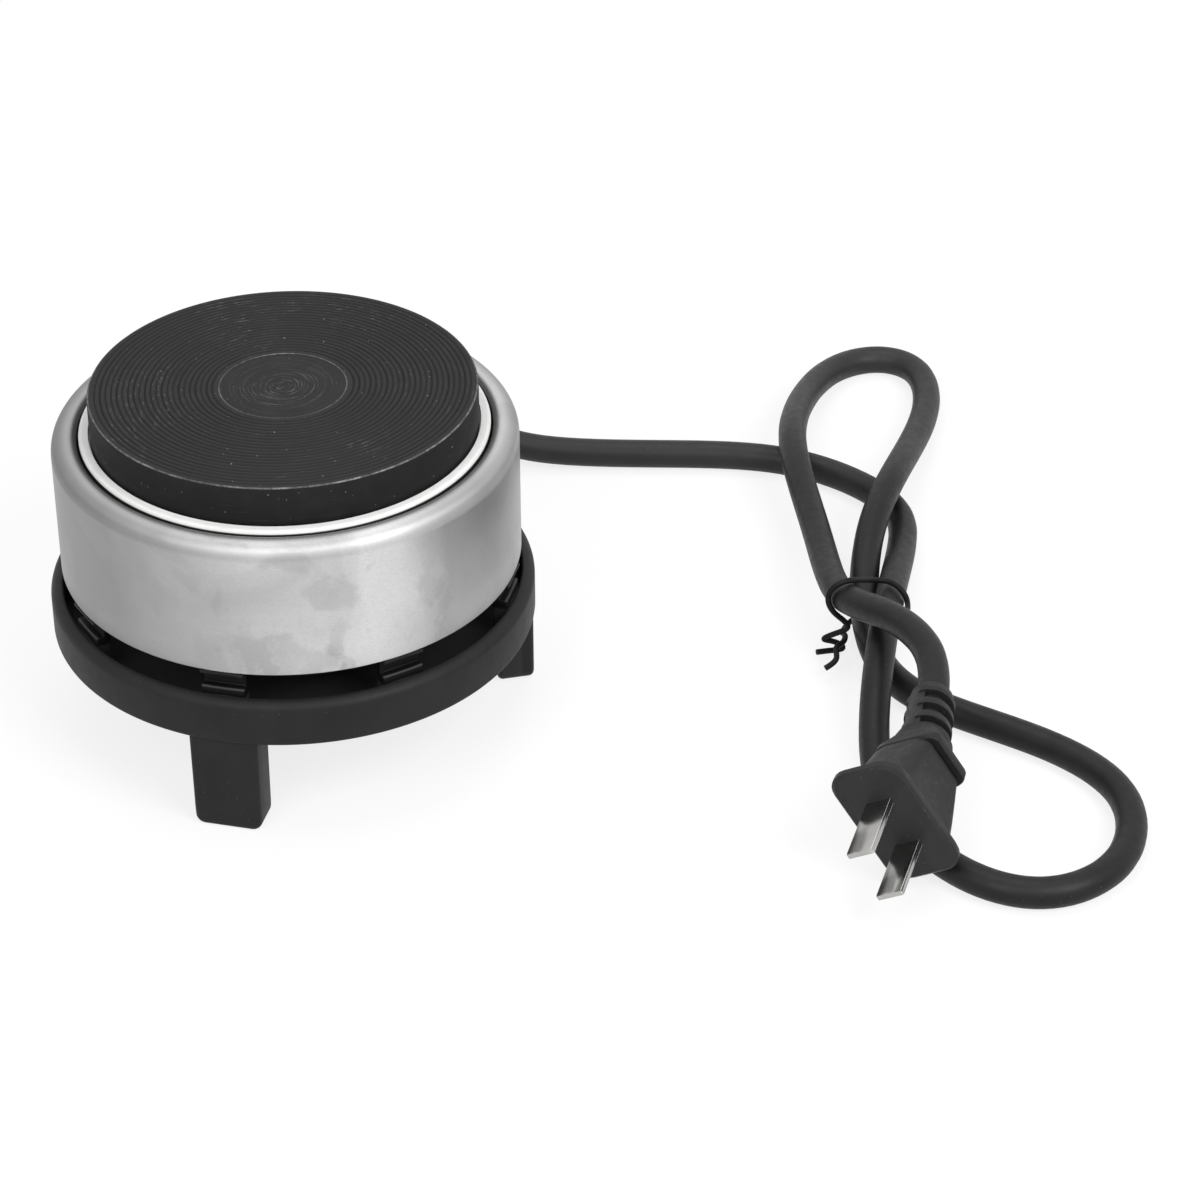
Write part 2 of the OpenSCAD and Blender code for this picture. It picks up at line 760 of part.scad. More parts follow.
module cord_cores() {
  color([0.35, 0.2, 0.15]) for (s = [-1, 1])
    tube(curve([
      outlet(cord_in, s * core_v, outlet_z),
      outlet(cord_in - core_bend, s * core_v, outlet_z),
      outlet(block_out_u + core_bend, s * block_way, way_z),
      outlet(block_out_u - wire_run, s * block_way, way_z)
    ], wire_steps), wire_d / 2, wire_sides);
}

// Insulated leads between the block, the thermostat and the coil
lead_drop = 2.5 * wire_d;
lead_side = 3 * wire_d;
live_tab = [stack_x, tab_y - strap_w / 2, fixed_z];
leaf_tab = [stack_x, leaf_tab_y - wire_d / 2, leaf_strap_z];
inner_tail = at_height(coil_first, tail_z);
outer_tail = at_height(coil_last, tail_z);
function below(p, drop) = [p[0], p[1], p[2] - drop];
function between(a, b, share) = a + (b - a) * share;
function block_way_in(v) = [
  outlet(block_in_u - 2 * wire_d, v, way_z),
  outlet(block_in_u + wire_run, v, way_z)
];
live_way = block_way_in(-block_way);
neutral_way = block_way_in(block_way);
module lead(p) {
  tube(curve(p, wire_steps), wire_d / 2, wire_sides, [1, 0, 0]);
}
module live_lead() {
  start = below(live_tab, lead_drop);
  color([0.55, 0.14, 0.1]) lead([
    live_tab,
    start,
    between(start, live_way[0], 0.35),
    between(start, live_way[0], 0.7),
    live_way[0],
    live_way[1]
  ]);
}
module switched_lead() {
  start = below(leaf_tab, lead_drop);
  color([0.85, 0.82, 0.74]) lead([
    leaf_tab,
    start,
    start + [lead_side, lead_side, -lead_drop / 2],
    below(outer_tail, 2 * lead_drop) + [lead_side, 0, 0],
    below(outer_tail, lead_drop),
    outer_tail
  ]);
}
module neutral_lead() {
  start = below(inner_tail, lead_drop);
  color([0.85, 0.82, 0.74]) lead([
    inner_tail,
    start,
    between(start, neutral_way[0], 0.3) - [lead_side, 0, 0],
    between(start, neutral_way[0], 0.75) - [lead_side, 0, 0],
    neutral_way[0],
    neutral_way[1]
  ]);
}

// Saddle clamp on the cord inside the base
clamp_top_z = outlet_z + cord_r + clamp_top_t;
screw_room = 0.5;
module cord_clamp() {
  color([0.16, 0.16, 0.16])
  outlet_frame() difference() {
    translate([clamp_u - clamp_l / 2, -clamp_v - clamp_boss_d / 2, clamp_seat_z])
      cube([clamp_l, 2 * clamp_v + clamp_boss_d, clamp_top_z - clamp_seat_z]);
    translate([clamp_u - clamp_l, 0, outlet_z]) rotate([0, 90, 0])
      cylinder(r = cord_r + cord_gap, h = 2 * clamp_l);
    for (s = [-1, 1]) translate([clamp_u, s * clamp_v, clamp_seat_z - eps])
      cylinder(d = screw_d + 2 * thread_gap, h = clamp_top_z);
  }
}
module clamp_screws() {
  color([0.7, 0.7, 0.68])
  outlet_frame() for (s = [-1, 1]) translate([clamp_u, s * clamp_v, clamp_top_z])
    screw(screw_d, clamp_top_z - floor_z - screw_room, screw_head_d, screw_head_h);
}

// Tapered strain relief in the base's outlet
collar_t = 2;
collar_step = 0.6;
collar_r = cord_r + cord_gap + relief_root;
module strain_relief() {
  color([0.12, 0.12, 0.12])
  outlet_frame() translate([0, 0, outlet_z]) rotate([0, 90, 0]) difference() {
    rotate_extrude() polygon([
      [0, post_in_r],
      [relief_neck_r, post_in_r],
      [relief_neck_r, base_r],
      [collar_r, base_r],
      [collar_r, base_r + collar_t],
      [collar_r - collar_step, base_r + collar_t],
      [relief_neck_r, base_r + relief_l],
      [0, base_r + relief_l]
    ]);
    translate([0, 0, post_in_r - eps]) cylinder(r = cord_r + cord_gap, h = base_r + relief_l);
  }
}

// Pose of the plug as it lies: its blades point along the plug's own +X
plug_at = [134.6, -79, 18.8];
plug_turn = [-59, 8, -108.5];
neck_root = [-flange_t - grip_l, 0, 0];
function turn_x(v, a) = [v[0], v[1] * cos(a) - v[2] * sin(a), v[1] * sin(a) + v[2] * cos(a)];
function turn_y(v, a) = [v[0] * cos(a) + v[2] * sin(a), v[1], v[2] * cos(a) - v[0] * sin(a)];
function turn_z(v, a) = [v[0] * cos(a) - v[1] * sin(a), v[0] * sin(a) + v[1] * cos(a), v[2]];
function plug_point(v) =
  plug_at + turn_z(turn_y(turn_x(v, plug_turn[0]), plug_turn[1]), plug_turn[2]);
function neck_point(l) = plug_point(neck_root + turn_y([-l, 0, 0], -neck_tilt));
module plug_frame() {
  translate(plug_at) rotate(plug_turn) children();
}

// Route of the cord: out of the base, along the floor, through its tied loops and into the plug
cord_lead = 6;
cord_route = concat(
  [for (u = [cord_in, base_r, base_r + relief_l, base_r + relief_l + cord_d]) outlet(u, 0, outlet_z)],
  [
    [27, 97, 24], [36.5, 104.5, 11.5], [51, 101, 3.7], [96.5, 101.5, 3.7], [124, 98.5, 3.7],
    [148, 77, 3.7], [147, 58, 3.7], [142.5, 33, 9], [139, 11, 13.5], [135.5, -11, 12], [133, -34, 4.5],
    [136, -57, 3.7], [150.5, -79, 3.7], [169.5, -86.5, 3.7], [188.5, -73.5, 3.7], [192.5, -46, 3.7],
    [174.5, -26.5, 3.7], [147.5, -12.5, 3.7], [136.5, 3, 3.7], [134.5, 29.5, 4.5], [137.5, 54.5, 10.5],
    [144.5, 74, 13], [150.5, 97, 6.5], [158.5, 123.5, 3.7], [158, 144.5, 3.7], [146.5, 151.5, 3.7],
    [132.5, 145, 3.7], [123.5, 122, 7], [119.5, 93.5, 13.5], [122, 73.5, 11], [125, 51.5, 10.5],
    [126.5, 28, 13], [129, 11.5, 17], [139, -2, 23], [147, -18, 25]
  ],
  [neck_point(neck_l + cord_lead), neck_point(neck_l)]
);
cord_line = curve(cord_route, 2);
cord_fine = curve(cord_route, 6);
far_along = 16;
cord_least_gap = min([
  for (i = [0 : len(cord_fine) - 1], j = [i + far_along : 1 : len(cord_fine) - 1])
    norm(cord_fine[i] - cord_fine[j])
]) - cord_d;
function row_length(p) = [for (i = 1, s = norm(p[1] - p[0]); i < len(p);
  i = i + 1, s = i < len(p) ? s + norm(p[i] - p[i - 1]) : s) s];
union() {
  lengths = row_length(cord_fine);
  echo(cord_length = lengths[len(lengths) - 1], cord_least_gap = cord_least_gap);
}
module power_cord() {
  color([0.12, 0.12, 0.12]) tube(cord_line, cord_r, 10);
}

// Moulded plug with a flange, a tapered grip with a ridge, and a bent ribbed neck
plug_clear = 0.05;
neck_wall = 1.2;
neck_r = cord_r + neck_wall;
rib_rise = 1.1;
rib_r = neck_r + rib_rise;
rib_pitch = neck_l / neck_ribs;
rib_share = 0.62;
rib_start = 0.3;
module slab(x, l, w) {
  translate([x, 0, 0]) rotate([0, 90, 0]) linear_extrude(eps) round_rect(w, l, w / 3, $fn = 32);
}
ridge_x = -flange_t - ridge_back;
ridge_end = 0.5;
ridge_l = grip_end_w - 2 * ridge_end;
ridge_high = grip_end_t + 2 * ridge_proud;
module neck() {
  rotate([0, 90, 0]) cylinder(r = neck_r, h = neck_l + over);
  for (k = [0 : neck_ribs - 1])
    translate([rib_pitch * (k + rib_start), 0, 0]) rotate([0, 90, 0])
      cylinder(r = rib_r, h = rib_pitch * rib_share);
}
module plug_body() {
  color([0.11, 0.11, 0.11])
  plug_frame() difference() {
    union() {
      translate([-flange_t, 0, 0]) rotate([0, 90, 0])
        linear_extrude(flange_t) round_rect(flange_w, flange_l, flange_round);
      hull() {
        slab(-flange_t - eps, grip_w, grip_t);
        slab(ridge_x, grip_end_w, grip_end_t);
      }
      hull() {
        slab(ridge_x, grip_end_w, grip_end_t);
        slab(neck_root[0], 2 * rib_r, 2 * rib_r);
      }
      translate([ridge_x - ridge_t, -ridge_l / 2, -ridge_high / 2])
        cube([ridge_t, ridge_l, ridge_high]);
      translate(neck_root) rotate([0, -neck_tilt, 0]) translate([-neck_l, 0, 0]) neck();
    }
    for (s = [-1, 1]) translate([-blade_in - plug_clear, s * blade_gap / 2, 0])
      translate([0, -blade_t / 2 - plug_clear, -blade_w / 2 - plug_clear])
        cube([blade_in + 2 * over, blade_t + 2 * plug_clear, blade_w + 2 * plug_clear]);
  }
}
module plug_blades() {
  color([0.82, 0.82, 0.8])
  plug_frame() for (s = [-1, 1])
    translate([-blade_in, s * blade_gap / 2 - blade_t / 2, -blade_w / 2])
      cube([blade_in + blade_out, blade_t, blade_w]);
}

// Coated wire tied once round the three strands, with its bent ends below them
tie_r = tie_d / 2;
tie_route = [
  [123, 12.5, 2], [126.5, 14, 1.5], [130.5, 14.5, 1.5], [127.5, 14.5, 4], [123.5, 14, 4.5], [127, 13, 7],
  [131, 11.5, 9.5], [129, 11.5, 12], [126.5, 11.5, 14], [125, 12.5, 16.5], [125.5, 13, 19.5], [128, 12.5, 22],
  [131, 14.5, 21.5], [134.5, 19.5, 18], [138.5, 23.5, 15.5], [142, 20.5, 16.5], [144.5, 17.5, 14.5],
  [145, 19.5, 10], [145.5, 26, 4.5], [143.5, 30, 0.5], [137.5, 31.5, 1], [132, 29, 0.5], [129, 20, 2],
  [130, 15.5, 5.5], [129.5, 10.5, 6], [126.5, 7.5, 7], [128, 5, 5], [124.5, 3.5, 3.5]
];
module wire_tie() {
  color([0.06, 0.06, 0.06]) tube(curve(tie_route, 3), tie_r, 8);
}

heating_plate();
mica_sheet();
ceramic_core();
heating_coil();
steel_shell();
base();
center_stud();
clamp_bridge();
bridge_washer();
bridge_nut();
base_washer();
base_nut();
thermostat_screw();
stack_washers();
bimetal_mount();
bimetal_strip();
push_bead();
fixed_contact();
leaf_strap();
contact_leaf();
terminal_block();
terminal_screws();
block_screw();
cord_cores();
live_lead();
switched_lead();
neutral_lead();
cord_clamp();
clamp_screws();
strain_relief();
power_cord();
plug_body();
plug_blades();
wire_tie();
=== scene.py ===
# Portable hot plate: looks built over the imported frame
import math

import bpy
from mathutils import Euler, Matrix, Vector


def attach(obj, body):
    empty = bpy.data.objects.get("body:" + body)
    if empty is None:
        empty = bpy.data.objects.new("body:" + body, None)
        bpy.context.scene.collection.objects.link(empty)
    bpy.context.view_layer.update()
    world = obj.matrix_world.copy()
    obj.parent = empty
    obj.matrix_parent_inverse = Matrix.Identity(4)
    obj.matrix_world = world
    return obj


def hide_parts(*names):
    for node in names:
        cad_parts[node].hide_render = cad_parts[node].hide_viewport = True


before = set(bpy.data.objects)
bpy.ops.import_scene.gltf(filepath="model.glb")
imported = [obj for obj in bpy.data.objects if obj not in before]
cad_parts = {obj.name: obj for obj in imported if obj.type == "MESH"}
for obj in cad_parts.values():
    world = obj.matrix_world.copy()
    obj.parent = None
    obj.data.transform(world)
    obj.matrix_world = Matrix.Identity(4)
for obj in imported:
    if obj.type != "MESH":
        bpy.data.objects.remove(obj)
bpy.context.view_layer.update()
mm = 0.001
weldGap = 0.000002
sharpEdge = math.radians(50)  # sharper edges than this are bevelled
scene = bpy.context.scene
scene.view_settings.view_transform = "Standard"
print("frame loaded:", len(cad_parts), "nodes")


# Small helpers for working by operators
def clearSelection():
    if bpy.context.mode != "OBJECT":
        bpy.ops.object.mode_set(mode="OBJECT")
    bpy.ops.object.select_all(action="DESELECT")


def pick(piece):
    clearSelection()
    piece.select_set(True)
    bpy.context.view_layer.objects.active = piece


def selectFaces(piece, test):
    pick(piece)
    bpy.ops.object.mode_set(mode="EDIT")
    bpy.ops.mesh.select_mode(type="FACE")
    bpy.ops.mesh.select_all(action="DESELECT")
    bpy.ops.object.mode_set(mode="OBJECT")
    for face in piece.data.polygons:
        face.select = bool(test(face.center, face.normal))
    bpy.ops.object.mode_set(mode="EDIT")


def selectEdges(piece, test):
    pick(piece)
    bpy.ops.object.mode_set(mode="EDIT")
    bpy.ops.mesh.select_mode(type="EDGE")
    bpy.ops.mesh.select_all(action="DESELECT")
    bpy.ops.object.mode_set(mode="OBJECT")
    points = piece.data.vertices
    for edge in piece.data.edges:
        edge.select = bool(test(points[edge.vertices[0]].co, points[edge.vertices[1]].co))
    bpy.ops.object.mode_set(mode="EDIT")


def addModifier(piece, kind, **settings):
    pick(piece)
    bpy.ops.object.modifier_add(type=kind)
    modifier = piece.modifiers[-1]
    for key, value in settings.items():
        setattr(modifier, key, value)
    bpy.ops.object.modifier_apply(modifier=modifier.name)


def unite(piece, tool, operation="UNION"):
    addModifier(piece, "BOOLEAN", operation=operation, object=tool, solver="EXACT")
    bpy.data.objects.remove(tool)


def joinAll(pieces):
    clearSelection()
    for piece in pieces:
        piece.select_set(True)
    bpy.context.view_layer.objects.active = pieces[0]
    bpy.ops.object.join()
    return bpy.context.object


def copyTurned(piece, degrees):
    pick(piece)
    bpy.ops.object.duplicate()
    copy = bpy.context.object
    copy.rotation_euler = (0, 0, math.radians(degrees))
    bpy.ops.object.transform_apply(location=True, rotation=True, scale=True)
    return copy


def putAt(piece, place, turn=(0, 0, 0)):
    pick(piece)
    piece.location = [v * mm for v in place]
    piece.rotation_euler = [math.radians(v) for v in turn]
    bpy.ops.object.transform_apply(location=True, rotation=True, scale=True)


def softShade(piece, degrees):
    pick(piece)
    bpy.ops.object.shade_smooth_by_angle(angle=math.radians(degrees))


def startAt(name, point):
    # one loose vertex, ready to be extruded
    clearSelection()
    bpy.ops.mesh.primitive_plane_add(size=0.001)
    piece = bpy.context.object
    piece.name = name
    bpy.ops.object.mode_set(mode="EDIT")
    bpy.ops.mesh.select_mode(type="VERT")
    bpy.ops.mesh.select_all(action="SELECT")
    bpy.ops.mesh.merge(type="CENTER")
    bpy.ops.transform.translate(value=[v * mm for v in point])
    return piece


def drawLine(points):
    for a, b in zip(points, points[1:]):
        step = [(q - p) * mm for p, q in zip(a, b)]
        bpy.ops.mesh.extrude_vertices_move(TRANSFORM_OT_translate={"value": step})


def turnProfile(name, profile, steps):
    # profile is a row of radius and height in mm, turned about the z axis
    points = [(r, 0, z) for r, z in profile]
    piece = startAt(name, points[0])
    drawLine(points)
    bpy.ops.mesh.select_all(action="SELECT")
    bpy.ops.mesh.spin(steps=steps, angle=2 * math.pi, center=(0, 0, 0), axis=(0, 0, 1))
    bpy.ops.mesh.select_all(action="SELECT")
    bpy.ops.mesh.remove_doubles(threshold=weldGap)
    bpy.ops.mesh.normals_make_consistent(inside=False)
    bpy.ops.object.mode_set(mode="OBJECT")
    return piece


def extrudeOutline(name, outline, depth):
    # outline in x and z, made a block that is centred on y
    points = [(x, -depth / 2, z) for x, z in outline]
    piece = startAt(name, points[0])
    drawLine(points + points[:1])
    bpy.ops.mesh.select_all(action="SELECT")
    bpy.ops.mesh.remove_doubles(threshold=weldGap)
    bpy.ops.mesh.edge_face_add()
    bpy.ops.mesh.extrude_region_move(TRANSFORM_OT_translate={"value": (0, depth * mm, 0)})
    bpy.ops.mesh.select_all(action="SELECT")
    bpy.ops.mesh.normals_make_consistent(inside=False)
    bpy.ops.object.mode_set(mode="OBJECT")
    return piece


def arcPoints(x, z, radius, first, last, count):
    angles = [math.radians(first + (last - first) * k / count) for k in range(count + 1)]
    return [(x + radius * math.cos(a), z + radius * math.sin(a)) for a in angles]


def splinePoints(route, samples):
    # smooth line through the neighbourhood of the route's points, ends included
    p = [Vector(q) for q in route]
    p = [2 * p[0] - p[1]] + p + [2 * p[-1] - p[-2]]
    line = []
    for i in range(1, len(p) - 2):
        for k in range(samples):
            t = k / samples
            line.append((p[i - 1] * (1 - t) ** 3 + p[i] * (3 * t ** 3 - 6 * t ** 2 + 4)
                         + p[i + 1] * (-3 * t ** 3 + 3 * t ** 2 + 3 * t + 1) + p[i + 2] * t ** 3) / 6)
    line.append((p[-3] + 4 * p[-2] + p[-1]) / 6)
    return line


def drawTube(name, line, diameter, rounding):
    shape = bpy.data.curves.new(name, "CURVE")
    shape.dimensions = "3D"
    shape.bevel_depth = 1.0  # each point's radius is the real one, so the box is true
    shape.bevel_resolution = rounding
    shape.use_fill_caps = True
    spline = shape.splines.new("POLY")
    spline.points.add(len(line) - 1)
    for point, place in zip(spline.points, line):
        point.co = (*(place * mm), 1)
        point.radius = diameter / 2 * mm
    spline.use_smooth = True
    tube = bpy.data.objects.new(name, shape)
    scene.collection.objects.link(tube)
    return tube


# Camera at the photograph's angle
cameraSettings = {
    "place": (0.0711, -0.73591, 0.51522), "turn": (56.362, 0.0, -0.2369), "lens": 113.6, "sensor": 36,
}


def addCamera():
    clearSelection()
    bpy.ops.object.camera_add(location=cameraSettings["place"])
    camera = bpy.context.object
    camera.rotation_mode = "ZYX"
    camera.rotation_euler = [math.radians(v) for v in cameraSettings["turn"]]
    camera.data.lens = cameraSettings["lens"]
    camera.data.sensor_width = cameraSettings["sensor"]
    scene.camera = camera


addCamera()
print("camera set")

# Plug: place and turn of its blades, which point along its own x
plugPose = {
    "place": (134.6, -79, 18.8), "turn": (-59, 8, -108.5), "neckRoot": 27, "neckLength": 17, "neckTilt": 10,
}


def neckPoint(distance):
    # on the axis of the bent neck, measured from its root
    tilt = math.radians(plugPose["neckTilt"])
    point = Vector((-plugPose["neckRoot"] - distance * math.cos(tilt), 0, -distance * math.sin(tilt)))
    point.rotate(Euler([math.radians(v) for v in plugPose["turn"]]))
    return point + Vector(plugPose["place"])


# Outlet of the cord at the back of the base
outlet = {"turn": 75, "height": 30.2}


def outletPoint(u):
    a = math.radians(outlet["turn"])
    return (u * math.cos(a), u * math.sin(a), outlet["height"])


cordSettings = {
    "diameter": 7.2, "samples": 10, "rounding": 8,
    "out": (33, 56, 78, 85.2), "straightEnd": 6,  # along the outlet, and before the neck
    "route": [
        (27, 97, 24), (36.5, 104.5, 11.5), (51, 101, 3.7), (96.5, 101.5, 3.7), (124, 98.5, 3.7), (148, 77, 3.7),
        (147, 58, 3.7), (142.5, 33, 9), (139, 11, 13.5), (135.5, -11, 12), (133, -34, 4.5), (136, -57, 3.7),
        (150.5, -79, 3.7), (169.5, -86.5, 3.7), (188.5, -73.5, 3.7), (192.5, -46, 3.7), (174.5, -26.5, 3.7),
        (147.5, -12.5, 3.7), (136.5, 3, 3.7), (134.5, 29.5, 4.5), (137.5, 54.5, 10.5), (144.5, 74, 13),
        (150.5, 97, 6.5), (158.5, 123.5, 3.7), (158, 144.5, 3.7), (146.5, 151.5, 3.7), (132.5, 145, 3.7),
        (123.5, 122, 7), (119.5, 93.5, 13.5), (122, 73.5, 11), (125, 51.5, 10.5), (126.5, 28, 13),
        (129, 11.5, 17), (139, -2, 23), (147, -18, 25),
    ],
}


def makeCord():
    s = cordSettings
    route = [outletPoint(u) for u in s["out"]] + s["route"]
    route += [neckPoint(plugPose["neckLength"] + s["straightEnd"]), neckPoint(plugPose["neckLength"])]
    line = splinePoints(route, s["samples"])
    cord = drawTube("mains_cord", line, s["diameter"], s["rounding"])
    length = sum((b - a).length for a, b in zip(line, line[1:])) * mm
    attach(cord, "body")
    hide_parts("power_cord")
    return cord, length


mainsCord, cordLength = makeCord()
print("cord drawn, length", round(cordLength, 4))

tieSettings = {
    "diameter": 1.4, "samples": 6, "rounding": 4,
    "route": [
        (123, 12.5, 2), (126.5, 14, 1.5), (130.5, 14.5, 1.5), (127.5, 14.5, 4), (123.5, 14, 4.5), (127, 13, 7),
        (131, 11.5, 9.5), (129, 11.5, 12), (126.5, 11.5, 14), (125, 12.5, 16.5), (125.5, 13, 19.5), (128, 12.5, 22),
        (131, 14.5, 21.5), (134.5, 19.5, 18), (138.5, 23.5, 15.5), (142, 20.5, 16.5), (144.5, 17.5, 14.5),
        (145, 19.5, 10), (145.5, 26, 4.5), (143.5, 30, 0.5), (137.5, 31.5, 1), (132, 29, 0.5), (129, 20, 2),
        (130, 15.5, 5.5), (129.5, 10.5, 6), (126.5, 7.5, 7), (128, 5, 5), (124.5, 3.5, 3.5),
    ],
}


def makeTie():
    s = tieSettings
    tie = drawTube("tie_wire", splinePoints(s["route"], s["samples"]), s["diameter"], s["rounding"])
    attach(tie, "body")
    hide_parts("wire_tie")
    return tie


tieWire = makeTie()
print("tie drawn")

# Plate: turned grooves, a bright line round the plain middle, worn edge, hollow underside
plateSettings = {
    "radius": 44, "top": 84, "foot": 73, "hollow": 39, "ceiling": 78, "ease": 0.4, "steps": 200,
    "sideCut": 79, "sideFoot": 73.5, "boss": 7, "bossFoot": 73.5, "stud": 3.15, "studDepth": 6.5,
    "middle": 14.5, "middleDrop": 0.1, "middleStep": 0.2, "middleLand": 0.3,
    "dimple": 0.16, "dimpleRing": (0.7, 1.0, 1.5, 1.8),
    "marks": 10, "firstMark": 2.6, "markPitch": 1.15, "markWidth": 0.55, "markDrop": 0.13,
    "firstGroove": 15.3, "lastGroove": 42.9, "grooves": 22, "depth": 0.32,
    # share of the pitch, share of the depth
    "groove": ((0.0, 0.0), (0.2, 0.08), (0.36, 0.6), (0.5, 1.0), (0.64, 0.6), (0.8, 0.08)),
    # radius, drop from the top
    "edge": ((43.35, 0), (43.7, 0.08), (43.9, 0.26), (44, 0.6)),
}


def makePlate():
    s = plateSettings
    top, ease, outer, inner = s["top"], s["ease"], s["radius"], s["hollow"]
    low, dip = top - s["middleDrop"], top - s["dimple"]
    profile = [(0, dip), *zip(s["dimpleRing"], (dip, low, low, dip))]
    for k in range(s["marks"]):  # fine tool marks round the centre
        r = s["firstMark"] + s["markPitch"] * k
        profile += [(r, low), (r + s["markWidth"], top - s["markDrop"])]
    profile += [(s["middle"] - s["middleStep"], low), (s["middle"], top), (s["middle"] + s["middleLand"], top)]
    pitch = (s["lastGroove"] - s["firstGroove"]) / s["grooves"]
    for k in range(s["grooves"]):
        r = s["firstGroove"] + pitch * k
        deep = s["depth"] * (0.9 + 0.1 * math.sin(2.3 * k))  # no two grooves quite alike
        profile += [(r + pitch * part, top - deep * share) for part, share in s["groove"]]
    profile += [(s["lastGroove"], top)] + [(r, top - drop) for r, drop in s["edge"]]
    profile += [(outer, s["sideCut"]), (outer, s["sideFoot"])]
    profile += [(outer - ease, s["foot"]), (inner + ease, s["foot"])]
    profile += [(inner, s["foot"] + ease), (inner, s["ceiling"] - ease), (inner - ease, s["ceiling"])]
    profile += [(s["boss"], s["ceiling"]), (s["boss"], s["bossFoot"]), (s["stud"], s["bossFoot"])]
    profile += [(s["stud"], s["bossFoot"] + s["studDepth"]), (0, s["bossFoot"] + s["studDepth"])]
    plate = turnProfile("grooved_plate", profile, s["steps"])
    softShade(plate, 40)
    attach(plate, "body")
    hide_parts("heating_plate")
    return plate


groovedPlate = makePlate()
print("plate turned")

# Shell: drawn wall, round shoulder, lip with a small inner step, well and ledge
shellSettings = {
    "radius": 53, "foot": 41.2, "crown": 74.4, "shoulder": 4, "curl": 2, "lip": 47, "ledge": 42, "ledgeTop": 67.2,
    "sheet": 0.6, "steps": 240, "wellRound": 0.5, "wallCuts": (50, 60),
    "lipStep": ((47.42, 73.6), (47.12, 73.46), (47.02, 73.3), (47, 73), (47, 70)),  # radius, height
}


def makeShell():
    s = shellSettings
    t, r, turn = s["sheet"], s["radius"], s["radius"] - s["shoulder"]
    shoulderZ, curlZ = s["crown"] - s["shoulder"], s["crown"] - s["curl"]
    wellZ = s["ledgeTop"] + s["wellRound"]
    profile = [(r - 0.3, s["foot"]), (r - 0.08, s["foot"] + 0.08), (r, s["foot"] + 0.3)]
    profile += [(r, z) for z in s["wallCuts"]]
    profile += arcPoints(turn, shoulderZ, s["shoulder"], 0, 90, 12)
    profile += arcPoints(turn, curlZ, s["curl"], 90, 138, 6)[1:]
    profile += [*s["lipStep"], (s["lip"], wellZ)]
    profile += arcPoints(s["lip"] - s["wellRound"], wellZ, s["wellRound"], 0, -90, 3)[1:]
    profile += [(s["ledge"], s["ledgeTop"]), (s["ledge"], s["ledgeTop"] - t), (s["lip"] + t, s["ledgeTop"] - t)]
    profile += [(s["lip"] + t, curlZ)]
    profile += arcPoints(turn, curlZ, s["curl"] - t, 180, 90, 6)[1:]
    profile += arcPoints(turn, shoulderZ, s["shoulder"] - t, 90, 0, 10)[1:]
    profile += [(r - t, s["wallCuts"][1]), (r - t, s["foot"] + 0.2), (r - t + 0.1, s["foot"]), profile[0]]
    shell = turnProfile("drawn_shell", profile, s["steps"])
    softShade(shell, 40)
    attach(shell, "body")
    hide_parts("steel_shell")
    return shell


drawnShell = makeShell()
print("shell drawn")

# Base: dished ring with posts for the shell, three legs, the cord's outlet and two bosses for its clamp
baseSettings = {
    "radius": 56, "wall": 3, "foot": 24, "floor": 26.4, "rim": 35.2, "steps": 240,
    "round": 1.2, "topRound": 2.4, "innerRound": 0.5, "floorRound": 1, "floorCuts": (30, 50), "sideCut": 29.5,
    "hub": 6.5, "hubRise": 3, "hubEase": 0.4, "hole": 3.4, "bore": 4.95, "boreRun": (48, 58),
    "posts": (256.5, 301.5, 346.5, 31.5, 121.5, 166.5, 211.5), "postWidth": 10, "outletPost": 20,
    # outer side of a post: a step just above the rim, then a thin face under the lip that carries the shell
    "postFront": [(53.8, 25.6), (53.8, 34.6), (52.5, 34.6), (52.5, 36.7), (50.6, 36.7), (50.6, 40.2), (53, 40.2)],
    "outletFront": [(55, 25.6), (55, 38.3), (53, 38.3)],
    "postRoot": (49.1, 25.6), "postBack": [(53, 41.15), (52.1, 41.15), (52.1, 45.2), (49.1, 45.2)],
    "legs": (256.5, 13, 134.75), "legWidth": 16, "legDepth": 8.8, "legOut": 55.23, "legTop": 25.4,
    "legTaper": 0.15, "taperEnd": 4, "soleSetIn": 2.5, "soleRound": 2.3,
    "clampAlong": 41.5, "clampAside": 7.8, "clampSeat": 30.2, "clampFoot": 25, "clampBoss": 3.2, "clampEase": 0.3,
}


def makePost(width, front):
    outline = [baseSettings["postRoot"]] + front + baseSettings["postBack"]
    post = extrudeOutline("post", outline, width)
    addModifier(post, "BEVEL", width=0.3 * mm, segments=3, limit_method="ANGLE")
    return post


def makeLeg():
    s = baseSettings
    half, sole = s["legWidth"] / 2, s["soleRound"]
    # a little narrower at the sole, with round lower corners
    outline = [(half, s["legTop"]), (half - s["legTaper"], s["taperEnd"])]
    outline += arcPoints(half - s["soleSetIn"], sole, sole, 0, -90, 6)
    outline += arcPoints(s["soleSetIn"] - half, sole, sole, -90, -180, 6)
    outline += [(s["legTaper"] - half, s["taperEnd"]), (-half, s["legTop"])]
    leg = extrudeOutline("leg", outline, s["legDepth"])
    addModifier(leg, "BEVEL", width=1.3 * mm, segments=5, limit_method="ANGLE", angle_limit=sharpEdge)
    putAt(leg, (0, s["legOut"] - s["legDepth"] / 2, 0))
    return leg


